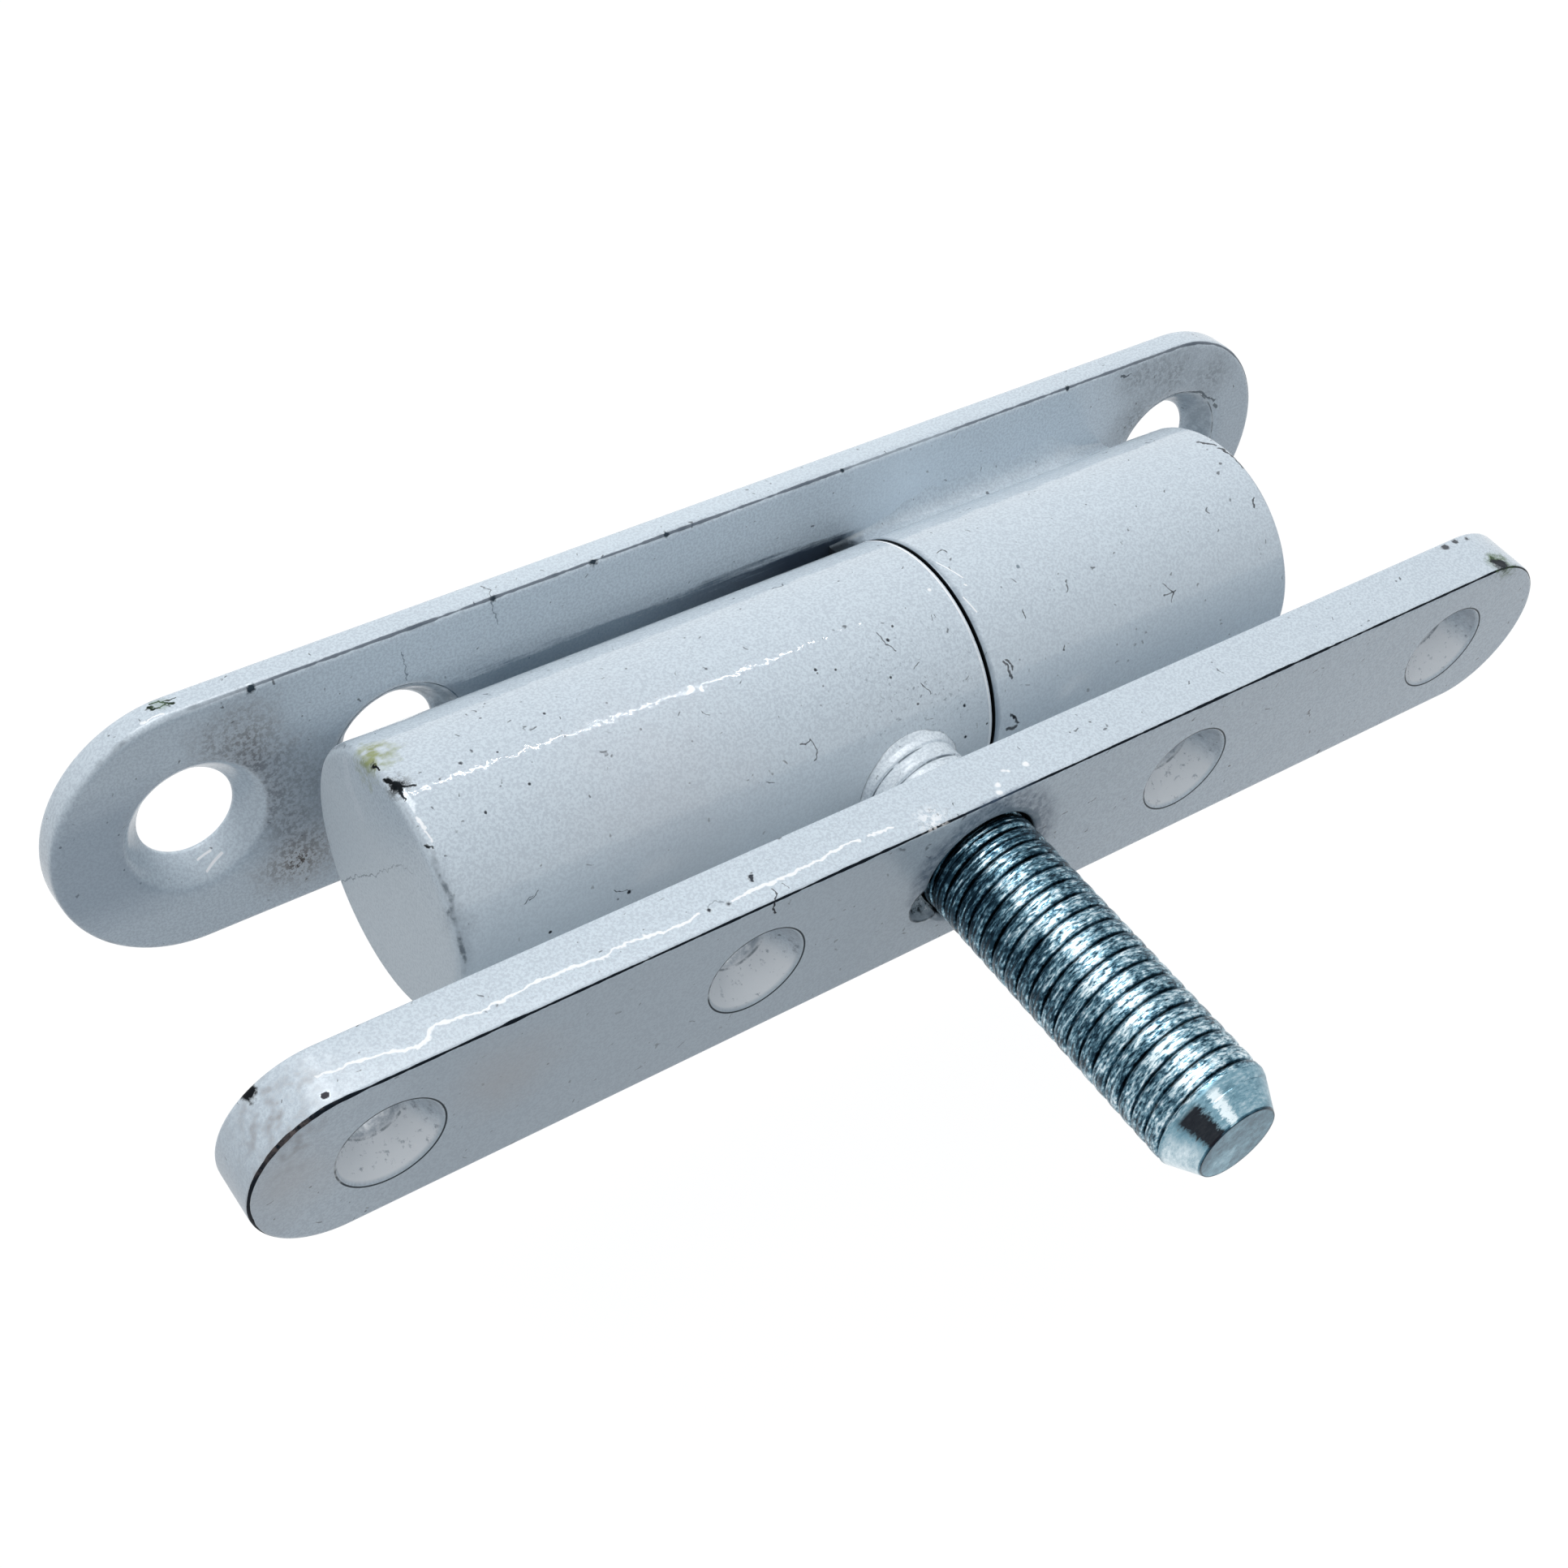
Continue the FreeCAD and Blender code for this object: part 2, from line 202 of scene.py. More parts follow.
world = bpy.data.worlds.new("studio")
scene.world = world
start = cleared(world)
room = start.node("Background", None, {"Color": (0.84, 0.92, 1.0, 1), "Strength": 0.46})
ground = start.node("Background", None, {"Color": (1, 1, 1, 1), "Strength": 1.0})
start.node("OutputWorld", None, {0: start.node("MixShader", None,
    {0: in_view(start), 1: room, 2: ground})})


# ---- Lamps ----
# A soft lamp hangs over the hinge, a weaker one fills in from the left front, high up, and a thin
# tube lamp draws the fine white line along the barrel.
def hang_lamp(name, place, size, power):
    # A rectangular lamp that looks at the hinge
    lamp = bpy.data.lights.new(name, "AREA")
    lamp.shape = "RECTANGLE"
    lamp.size, lamp.size_y = size
    lamp.energy = power
    hung = bpy.data.objects.new(name, lamp)
    hung.location = place
    toward = -Vector(place)
    hung.rotation_euler = toward.to_track_quat("-Z", "Y").to_euler()
    scene.collection.objects.link(hung)
    return hung


hang_lamp("soft_lamp", (-0.05, 0.12, 0.60), (0.32, 0.28), 1.8)
hang_lamp("front_fill", (-0.20, -0.24, 0.52), (0.30, 0.30), 0.34)
tube = hang_lamp("tube_lamp", (0.1474, 0.065, 0.40), (0.132, 0.0035), 0.085)
tube.rotation_euler = (0, 0, math.radians(-36))


# ---- Wall leaf ----
# A flat bar with full round ends that is screwed to the frame. It is punched and countersunk
# for three screws, and all of it is sprayed with a thick light enamel that softens every edge.
FRONT = 13.2
LEAF_THICK = 2.7
LEAF_ENDS = (-70.0, 51.4)
LEAF_HALF_WIDTH = 11.4
LEAF_HOLES = (-58.3, -40.8, 40.7)
ENAMEL = (0.69, 0.765, 0.82)
SOOT = (0.035, 0.04, 0.05)
RIM_STEPS = 128
HOLE_STEPS = 72


def softened(corners, steps=5):
    # An outline of (across, along, softness) corners, with each corner rounded by its softness
    outline = []
    for index, (across, along, softness) in enumerate(corners):
        here = Vector((across, along))
        if softness == 0:
            outline.append(here)
            continue
        before = Vector(corners[index - 1][:2]) - here
        after = Vector(corners[index + 1][:2]) - here
        first = here + before.normalized() * softness
        last = here + after.normalized() * softness
        for step in range(steps + 1):
            share = step / steps
            outline.append(first.lerp(here, share).lerp(here.lerp(last, share), share))
    return outline


def wall(mesh, middle, half_length, outline, front, steps):
    # A wall round an axis along Y, drawn out along X: a ring per (radius, depth) corner
    lie = Matrix.Translation((middle, front + outline[0][1], 0))
    lie = lie @ Matrix.Rotation(math.pi / 2, 4, "X") @ Matrix.Rotation(math.pi / steps, 4, "Z")
    verts = bmesh.ops.create_circle(mesh, segments=steps, radius=outline[0][0], matrix=lie)["verts"]
    for vert in verts:
        vert.co.x += math.copysign(half_length, vert.co.x - middle)
    first = last = list({edge for vert in verts for edge in vert.link_edges})
    for (radius, _), (next_radius, depth) in zip(outline, outline[1:]):
        grown = bmesh.ops.extrude_edge_only(mesh, edges=last)["geom"]
        last = [item for item in grown if isinstance(item, bmesh.types.BMEdge)]
        for vert in (item for item in grown if isinstance(item, bmesh.types.BMVert)):
            centre = middle + math.copysign(half_length, vert.co.x - middle)
            vert.co.x = centre + (vert.co.x - centre) * next_radius / radius
            vert.co.z *= next_radius / radius
            vert.co.y = front + depth
    return first, last


def drilled_bar(ends, half_width, front, edge, holes):
    # A flat bar with rounded edges and turned holes, in millimetres
    bar = bmesh.new()
    middle = (ends[0] + ends[1]) / 2
    half_length = (ends[1] - ends[0]) / 2 - half_width
    outer = [(half_width - inset, depth) for inset, depth in softened(edge, 6)]
    rims = [wall(bar, middle, half_length, outer, front, RIM_STEPS)]
    for place, outline in holes:
        inner = [(radius, depth) for radius, depth in softened(outline, 6)]
        rims.append(wall(bar, place, 0.0, inner, front, HOLE_STEPS))
    for rim in zip(*rims):
        bmesh.ops.triangle_fill(bar, use_beauty=True, use_dissolve=False,
            edges=[edge for loop in rim for edge in loop])
    bmesh.ops.recalc_face_normals(bar, faces=bar.faces)
    return bar


def finished(name, mesh, material, body, *nodes, droop=0.0, crease=35.0, slot="enamel"):
    # Puts a piece made in millimetres in its place, under its body, and hides the parts it stands
    # for
    if droop:
        turn = Matrix.Rotation(math.radians(droop), 3, "X")
        bmesh.ops.rotate(mesh, verts=mesh.verts, cent=(0, 0, 0), matrix=turn)
    bmesh.ops.scale(mesh, verts=mesh.verts, vec=(MM, MM, MM))
    data = bpy.data.meshes.new(name)
    mesh.to_mesh(data)
    mesh.free()
    data.shade_smooth()
    data.set_sharp_from_angle(angle=math.radians(crease))
    for paint in material if isinstance(material, list) else [material]:
        data.materials.append(paint)
    piece = bpy.data.objects.new(name, data)
    scene.collection.objects.link(piece)
    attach(piece, body)
    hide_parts(*nodes)
    return piece


def blot(place, grain, centre, reach, ragged=0.5, soft=0.5):
    # A spot around a point, with an uneven rim; sizes in millimetres
    away = place.vector("DISTANCE", place, centre, output=1)
    uneven = away + (grain - 0.5) * (2.0 * ragged * reach)
    return ((reach - uneven) / (soft * reach)).held()


def streak(surface, grain, start_point, end_point, width, ragged=0.5):
    # A thin line between two places on a surface, with an uneven rim
    run = Vector((*end_point, 0)) - Vector((*start_point, 0))
    from_start = surface.vector("SUBTRACT", surface, (*start_point, 0))
    shadow = surface.vector("DOT_PRODUCT", from_start, tuple(run), output=1)
    share = (shadow / run.length_squared).held()
    nearest = surface.node("VectorMath", {"operation": "SCALE"}, {0: tuple(run), "Scale": share})
    away = surface.vector("DISTANCE", from_start, nearest, output=1)
    uneven = away + (grain - 0.5) * (2.0 * ragged * width)
    return ((width - uneven) / (0.5 * width)).held()


def hair(surface, grain, width, *points, ragged=0.5):
    # A line drawn on from point to point
    mask = streak(surface, grain, points[0], points[1], width, ragged)
    for pair in zip(points[1:], points[2:]):
        mask = mask.at_least(streak(surface, grain, *pair, width, ragged))
    return mask


def flat(first, second):
    # A surface's own two directions, so that a line drawn on it keeps to it
    return first.node("CombineXYZ", None, {0: first, 1: second})


def on_piece(start, droop=0.0):
    # Where a point is on its piece, in millimetres and with the droop taken out
    return start.node("Mapping", None, {
        0: start.node("TexCoord", output="Object"), "Rotation": (math.radians(-droop), 0, 0),
        "Scale": (1 / MM, 1 / MM, 1 / MM)})


def enamel(name, marks, droop=0.0, tint=ENAMEL, gloss=0.22):
    # Thick glossy enamel with a slight orange peel, fine dust and the marks of each piece.
    # The marks are (mask, colour) pairs, laid on in their order. The darkest are bare metal.
    paint = bpy.data.materials.new(name)
    start = cleared(paint)
    place = on_piece(start, droop)
    grain = place.noise(1.1, 4.0, 0.65)
    fine = place.noise(4.4, 2.0, 0.65)
    cloud = place.noise(0.07, 3.0, 0.5)
    # Lines are drawn in a space that is bent a little, so none is quite straight
    drift = place.vector("SUBTRACT", place.noise(1.2, 2.0, 0.5, output=1), (0.5, 0.5, 0.5))
    bent = place.vector("ADD", place, drift.node("VectorMath", {"operation": "SCALE"},
        {0: drift, "Scale": 0.9}))
    # Dust: each small cell may hold one dark fleck, and here and there lies a short hair
    cells = {"feature": "F1", "voronoi_dimensions": "3D"}
    near = place.node("TexVoronoi", cells, {"Vector": place, "Scale": 0.9})
    pick = place.node("TexVoronoi", cells, {"Vector": place, "Scale": 0.9}, output=1).part("X")
    fleck = (((pick - 0.74).held() * 0.42 - near) * 24.0 + 0.3).held()
    wander = place.noise(0.45, 1.0, 0.5)
    hairs = abs(wander - 0.5).below(0.02, 90.0) * drift.part("Z").above(0.15, 25.0)
    colour = start.mix(cloud.above(0.35, 1.6), tint, [part * 0.94 for part in tint])
    speckle = fine.below(0.58, 6.0) * 0.46
    colour = start.mix(speckle, colour, (0.42, 0.47, 0.53))
    colour = start.mix((fleck + hairs).held() * 0.75, colour, SOOT)
    rough = start.maths("ADD", gloss, fleck * 0.3)
    bare = start.maths("MULTIPLY", fleck, 0.5)
    for mask, stain in marks(place, grain, bent):
        colour = start.mix(mask, colour, stain)
        rough = (rough + mask * 0.3).at_most(0.7)
        if max(stain) < 0.1:
            bare = bare.at_least(mask)
    peel = place.noise(0.5, 2.0, 0.5)
    ripple = start.node("Bump", None, {"Strength": 1.0, "Distance": 0.00005, "Height": peel})
    nubs = start.node("Bump", None,
        {"Strength": 1.0, "Distance": 0.00001, "Height": place.noise(1.8, 1.0, 0.5),
        "Normal": ripple})
    shader = start.node("BsdfPrincipled", None, {
        "Base Color": colour, "Roughness": rough, "Metallic": bare, "IOR": 1.5, "Normal": nubs})
    start.node("OutputMaterial", None, {0: shader})
    return paint


def bar_rim(place, ends, half_width, front):
    # How far a point of a round-ended bar is from its front rim, in millimetres
    middle = (ends[0] + ends[1]) / 2
    straight = (ends[1] - ends[0]) / 2 - half_width
    beyond = (abs(place.part("X") - middle) - straight).at_least(0.0)
    out = hypot(beyond, place.part("Z"))
    return hypot(out - half_width, place.part("Y") - front)


def leaf_marks(place, grain, bent):
    x, y, z = place.parts()
    rim = bar_rim(place, LEAF_ENDS, LEAF_HALF_WIDTH, FRONT)
    broad = place.noise(0.25, 3.0, 0.6)
    mid = place.noise(0.8, 3.0, 0.6)
    stipple = place.noise(2.6, 3.0, 0.7)
    face = abs(y - FRONT).below(0.4, 5.0)
    front = flat(bent.part("X"), bent.part("Z"))
    upper = flat(bent.part("X"), bent.part("Y"))
    crest = z.above(10.9, 4.0)
    # The front rim: soft and chipped at the left, worn to a thin dark line along the top
    yield rim.below(0.42, 6.0) * broad.above(0.54, 9.0) * 0.6, (0.12, 0.15, 0.18)
    along = (z * 0.5).held() * x.above(-60.0, 0.1)
    yield (((0.292 + (broad - 0.5) * 0.10 + (mid - 0.5) * 0.10 + (grain - 0.5) * 0.08 - rim)
        * 35.0).held() * along * 0.85, (0.05, 0.07, 0.10))
    # Painted light makes the middle of the top and the face above the weld paler
    middle = abs(x + 8.0).below(34.0, 0.06)
    yield (y - FRONT).above(0.5, 3.0) * z.above(10.6, 3.0) * middle * 0.15, (0.86, 0.95, 1.0)
    yield face * blot(place, broad, (8.5, FRONT, 7.5), 9.0, 0.5, 1.0) * 0.45, (0.80, 0.89, 0.96)
    # A faint lilac cast on the left end, and brown dirt and stipple between its two holes
    yield face * blot(place, broad, (-65.5, FRONT, -1.0), 9.0, 0.4, 1.0) * 0.25, (0.50, 0.54, 0.63)
    for spot, reach in (((-53.8, FRONT, 6.0), 5.4), ((-51.8, FRONT, 0.8), 5.8),
            ((-50.2, FRONT, -6.2), 5.2)):
        dirt = blot(place, broad, spot, reach, 0.5, 0.8) * face
        yield dirt * 0.34, (0.42, 0.38, 0.37)
        yield dirt * stipple.above(0.45, 8.0) * 0.58, (0.12, 0.10, 0.09)
    yield (face * blot(place, stipple, (-50.6, FRONT, -7.3), 1.9, 1.2) * stipple.above(0.5, 12.0)
        * 0.8, (0.05, 0.04, 0.035))
    # Grey grime along the top of the right end and round its hole
    for spot, reach in (((35.5, FRONT, 9.5), 3.6), ((40.3, FRONT, 8.8), 4.0),
            ((45.2, FRONT, 6.8), 3.4), ((36.0, FRONT, 5.0), 3.4)):
        dirt = blot(place, broad, spot, reach, 0.5, 0.9) * face
        yield dirt * 0.18, (0.30, 0.32, 0.34)
        yield dirt * stipple.above(0.44, 8.0) * 0.42, (0.14, 0.16, 0.18)
    # Painted shade darkens the walls and rims of the two holes that the barrel half hides
    fore = y.below(FRONT + LEAF_THICK - 0.5, 3.0)
    for hole, strength in zip(LEAF_HOLES, (0.0, 0.62, 0.42)):
        across = x - hole
        wide = hypot(across, z)
        if strength:
            yield (fore * ((6.0 - wide + (grain - 0.5) * 0.8) * 4.0).held() * mid.above(0.25, 3.0)
                * strength, (0.11, 0.17, 0.22))
            yield (fore * abs(wide - 6.0).below(0.09, 16.0) * grain.above(0.34, 6.0) * 0.85,
                (0.03, 0.05, 0.07))
        else:
            yield (fore * abs(wide - 4.1).below(0.1, 12.0) * grain.above(0.42, 6.0) * 0.5,
                (0.10, 0.13, 0.16))
    # Scratches over the right hole, painted glints in the left, and fine hairs near the middle one
    for width, points in ((0.20, ((40.8, 5.9), (44.1, 5.3), (46.0, 3.7))),
            (0.13, ((42.0, 5.1), (44.2, 4.4), (45.7, 3.1))), (0.22, ((46.3, 3.1), (46.6, 2.8))),
            (0.12, ((33.3, 10.5), (34.4, 10.2)))):
        yield face * hair(front, grain, width, *points, ragged=1.0) * 0.85, (0.03, 0.05, 0.07)
    straight = flat(x, z)
    for width, points in ((0.10, ((-56.3, -4.5), (-57.9, -5.3))),
            (0.08, ((-57.0, -4.3), (-58.2, -4.6)))):
        yield fore * hair(straight, grain, width, *points, ragged=0.2), (1.0, 1.0, 1.0)
    for points in (((-40.2, 9.4), (-40.0, 8.0), (-39.9, 6.4)),
            ((-32.2, 11.0), (-31.9, 10.0), (-31.7, 8.6))):
        yield face * hair(front, grain, 0.07, *points) * 0.7, (0.08, 0.12, 0.16)
    # A green-black ring mark, cracks and nicks on the upper edge, and a painted glint on it
    for width, points in ((0.19, ((-60.1, 14.9), (-59.4, 14.45), (-58.9, 14.6))),
            (0.15, ((-59.9, 15.3), (-59.2, 15.2), (-58.3, 14.4))),
            (0.07, ((-59.0, 15.1), (-58.0, 14.9)))):
        yield crest * hair(upper, grain, width, *points, ragged=1.0), (0.012, 0.022, 0.014)
    yield blot(place, mid, (-59.2, 14.9, 11.3), 0.75, 0.9) * 0.45, (0.16, 0.24, 0.16)
    yield crest * hair(upper, grain, 0.06, (-32.1, 13.3), (-31.7, 14.0), (-32.1, 14.9)) * 0.7, SOOT
    yield (crest * hair(upper, grain, 0.10, (-61.2, 13.9), (-59.5, 13.75), ragged=1.0),
        (1.0, 1.0, 1.0))
    for along, size in ((-62.9, 0.4), (-52.6, 0.5), (-31.9, 0.42), (-22.8, 0.45), (-15.7, 0.35),
            (2.0, 0.3), (26.9, 0.35)):
        height = 11.25 if along > -60 else 10.8
        yield blot(place, grain, (along, FRONT + 0.1, height), size, 1.2), (0.03, 0.045, 0.06)
    # Painted shade darkens the narrow gap behind the long knuckle, most towards the joint
    drawn = place.stretched((0.10, 1.0, 1.7), 4.0, 0.65)
    gap_shade_level = abs(z) + (drawn - 0.5) * 3.2 + (grain - 0.5) * 0.7
    along = x.above(-48.0, 0.06) * ((4.5 - x + (broad - 0.5) * 4.0) * 0.5).held()
    yield face * gap_shade_level.below(7.0, 0.3) * x.below(9.0, 0.08) * 0.30, (0.12, 0.20, 0.28)
    yield face * gap_shade_level.below(5.1, 1.3) * along * 0.60, (0.065, 0.13, 0.20)
    near = x.above(-20.0, 0.06) * ((3.6 - x + (grain - 0.5) * 4.0) * 0.8).held()
    yield face * gap_shade_level.below(5.2, 0.9) * near * 0.88, (0.03, 0.05, 0.085)


leaf_edge = [(0.85, 0, 0), (0.75, 0, 0), (0, 0, 0.65), (0, LEAF_THICK, 0.65), (0.75, LEAF_THICK, 0),
    (0.85, LEAF_THICK, 0)]
leaf_hole = [(7.5, 0, 0), (7.3, 0, 0), (5.95, 0, 1.1), (4.0, 2.35, 0.15), (4.0, LEAF_THICK, 0.12),
    (4.3, LEAF_THICK, 0)]
leaf = drilled_bar(LEAF_ENDS, LEAF_HALF_WIDTH, FRONT, leaf_edge,
    [(place, leaf_hole) for place in LEAF_HOLES])
finished("painted_leaf", leaf, enamel("leaf_enamel", leaf_marks), "wall_side", "wall_leaf")


# ---- Short knuckle ----
# Turned from round bar and bored blind from the joint's side for the pin, which is pressed in.
# Its edges are broken, and the outer rim has lost small chips of paint.
BARREL = 11.0
JOINT = 0.10
SHORT_END = 32.77
PIN_SEAT = 24.2
PRESS_FIT = 5.0


def turned(corners, steps=160):
    # A solid turned about the hinge axis from (along, radius, softness) corners
    lump = bmesh.new()
    verts = [lump.verts.new((point.x, point.y, 0)) for point in softened(corners, 6)]
    edges = [lump.edges.new(pair) for pair in zip(verts, verts[1:])]
    bmesh.ops.spin(lump, geom=verts + edges, cent=(0, 0, 0), axis=(1, 0, 0), angle=math.tau,
        steps=steps, use_merge=True)
    bmesh.ops.remove_doubles(lump, verts=lump.verts, dist=0.0005)
    bmesh.ops.recalc_face_normals(lump, faces=lump.faces)
    return lump


def knuckle_rim(place, end):
    # How far a point is from the barrel's rim at one end
    out = hypot(place.part("Y"), place.part("Z"))
    return hypot(out - BARREL, place.part("X") - end)


def unrolled(place):
    # The barrel's side laid flat: along the axis, and round it upwards from the level front
    turn = place.maths("ARCTAN2", place.part("Z"), 0.0 - place.part("Y"))
    return flat(place.part("X"), turn * BARREL)


def on_skin(place):
    # One on the barrel's side, nothing on its ends
    return hypot(place.part("Y"), place.part("Z")).above(10.5, 5.0)


def on_barrel(*points):
    # Places on the barrel's side, given as (along, degrees round it)
    return [(along, BARREL * math.radians(degrees)) for along, degrees in points]


def short_marks(place, grain, bent):
    x, _, z = place.parts()
    broad = place.noise(0.3, 3.0, 0.6)
    rim = knuckle_rim(place, SHORT_END)
    yield rim.below(0.3, 6.0) * broad.above(0.47, 9.0) * 0.8, (0.12, 0.14, 0.17)
    # Painted light pales the lower part; painted shade darkens the rim and face at the joint
    yield z.below(8.5, 0.16) * 0.35, (0.84, 0.89, 0.92)
    yield ((JOINT + 0.60 + (broad - 0.5) * 0.8 - x) * 2.2).held() * 0.7, (0.16, 0.22, 0.28)
    yield x.below(JOINT + 0.16, 16.0), (0.006, 0.008, 0.010)
    side = unrolled(bent)
    skin = on_skin(place)
    for width, points in ((0.06, ((19.2, 36.0), (19.9, 31.0), (19.7, 26.5))),
            (0.06, ((19.0, 30.5), (20.3, 31.5))), (0.14, ((1.7, 31.0), (2.0, 28.0), (2.2, 24.0))),
            (0.10, ((2.0, 32.0), (2.4, 27.0))), (0.16, ((1.8, 7.5), (2.2, 4.0))),
            (0.14, ((2.0, 5.5), (2.7, 1.0))), (0.10, ((31.2, 52.5), (31.7, 55.5))),
            (0.12, ((31.2, 94.5), (31.9, 90.0), (32.3, 87.0))),
            (0.10, ((32.2, 85.0), (32.5, 77.0), (32.5, 70.0))), (0.30, ((1.4, -0.5), (2.3, -0.8))),
            (0.05, ((8.0, 27.6), (7.7, 25.3))), (0.07, ((1.5, 89.0), (2.1, 90.8), (2.4, 87.0))),
            (0.05, ((5.2, 48.0), (5.0, 45.0)))):
        yield skin * hair(side, grain, width, *on_barrel(*points), ragged=0.9) * 0.9, SOOT
    yield blot(place, grain, (6.83, -4.28, 10.13), 0.2, 0.8) * 0.8, (0.08, 0.13, 0.17)
    # Painted glints beside the joint, kept straight
    side = unrolled(place)
    for width, points in ((0.07, ((0.8, 84.0), (1.75, 72.0))), (0.10, ((1.5, 68.6), (1.6, 68.0))),
            (0.08, ((0.7, 63.5), (1.1, 55.5)))):
        yield hair(side, grain, width, *on_barrel(*points), ragged=0.1), (1.0, 1.0, 1.0)


short = turned([
    (SHORT_END, 0, 0), (SHORT_END, 10.2, 0), (SHORT_END, 10.3, 0), (SHORT_END, BARREL, 0.5),
    (31.9, BARREL, 0), (1.0, BARREL, 0), (JOINT, BARREL, 0.3), (JOINT, 10.2, 0),
    (JOINT, PRESS_FIT, 0), (PIN_SEAT, PRESS_FIT, 0), (PIN_SEAT, 0, 0)])
finished("painted_short_knuckle", short, enamel("short_knuckle_enamel", short_marks, gloss=0.05),
    "wall_side", "short_knuckle")


# ---- Knuckle weld ----
# A run of weld above and below fills the 2 mm between the short knuckle and the leaf. It was
# ground and painted over, so it only shows as a soft swelling that fades out up the leaf.
WELD_ENDS = (0.97, 31.98)
WELD_FOOT = math.radians(26)
WELD_STEPS = 120


def weld_bead():
    bead = bmesh.new()
    foot = Vector((BARREL * math.cos(WELD_FOOT), BARREL * math.sin(WELD_FOOT)))
    turns = [WELD_FOOT * (1 - step / 5) for step in range(1, 10)]
    around = [Vector((BARREL * math.cos(turn), BARREL * math.sin(turn))) for turn in turns]
    slices, raw_height = 12, 5.0
    upper = [Vector((FRONT - step / slices, raw_height)) for step in range(slices + 1)]
    section = upper + around + [Vector((point.x, -point.y)) for point in reversed(upper)]
    face = bead.faces.new([bead.verts.new((WELD_ENDS[0], point.x, point.y)) for point in section])
    grown = bmesh.ops.extrude_face_region(bead, geom=[face])["geom"]
    moved = [item for item in grown if isinstance(item, bmesh.types.BMVert)]
    bmesh.ops.translate(bead, verts=moved, vec=(WELD_ENDS[1] - WELD_ENDS[0], 0, 0))
    long_edges = [edge for edge in bead.edges if abs(edge.verts[0].co.x - edge.verts[1].co.x) > 1]
    bmesh.ops.subdivide_edges(bead, edges=long_edges, cuts=WELD_STEPS, use_grid_fill=True)
    for vert in bead.verts:
        x, y, z = vert.co
        if abs(abs(z) - raw_height) > 0.001:
            continue
        # Each slice is a hollow curve from its toe, high or low on the leaf, to the barrel
        share = (FRONT - y) * (1.0 - 1e-6)
        climb = min(1.0, (x - WELD_ENDS[0]) / 11.0) * min(1.0, (WELD_ENDS[1] - x) / 6.0)
        swell = 0.35 * math.sin(0.8 * x + (0.0 if z > 0 else 2.0)) + 0.18 * math.sin(2.3 * x)
        toe = Vector((FRONT, 3.9 + (2.3 + swell) * climb ** 1.5))
        low = Vector((FRONT - 0.30 - 0.25 * climb, 3.4))
        point = toe.lerp(low, share).lerp(low.lerp(foot, share), share)
        vert.co.y = point.x
        vert.co.z = math.copysign(point.y, z)
    bmesh.ops.recalc_face_normals(bead, faces=bead.faces)
    return bead


def weld_marks(place, grain, bent):
    yield grain.above(0.58, 5.0) * 0.2, (0.25, 0.27, 0.30)
    # Painted shade darkens the weld's left end, towards the gap behind the long knuckle
    yield ((4.5 - place.part("X") + (grain - 0.5) * 3.0) * 0.6).held() * 0.9, (0.03, 0.045, 0.06)


finished("painted_weld", weld_bead(), enamel("weld_enamel", weld_marks), "wall_side",
    "knuckle_weld", crease=60.0)


# ---- Pin and thrust ball ----
# The pin is ground steel, pressed into the short knuckle and greased, and the ball in its cupped
# end carries the long knuckle. Both are shut inside the barrel.
def bare_steel():
    steel = bpy.data.materials.new("ground_steel")
    start = cleared(steel)
    place = on_piece(start)
    lines = place.stretched((9.0, 0.6, 0.6))
    grease = place.noise(0.2, 3.0, 0.6).above(0.5, 4.0)
    colour = start.mix(grease * 0.5, (0.56, 0.56, 0.55), (0.30, 0.27, 0.22))
    cut = start.node("Bump", None, {"Strength": 0.4, "Distance": 0.00001, "Height": lines})
    shader = start.node("BsdfPrincipled", None, {
        "Base Color": colour, "Metallic": 1.0, "Roughness": start.maths("ADD", 0.22, lines * 0.2),
        "Normal": cut})
    start.node("OutputMaterial", None, {0: shader})
    return steel


ground_steel = bare_steel()
for node in ("hinge_pin", "thrust_ball"):
    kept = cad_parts[node]
    kept.data.materials.clear()
    kept.data.materials.append(ground_steel)


# ---- Long knuckle ----
# The door's half of the barrel, turned from the same bar and bored blind to turn on the pin. The
# stud is fixed in its side. Handling has chipped its left rim and left fine hairs in the paint.
LONG_END = -49.375
BORE = 5.06
BORE_END = -35.33
DROOP = 7.6


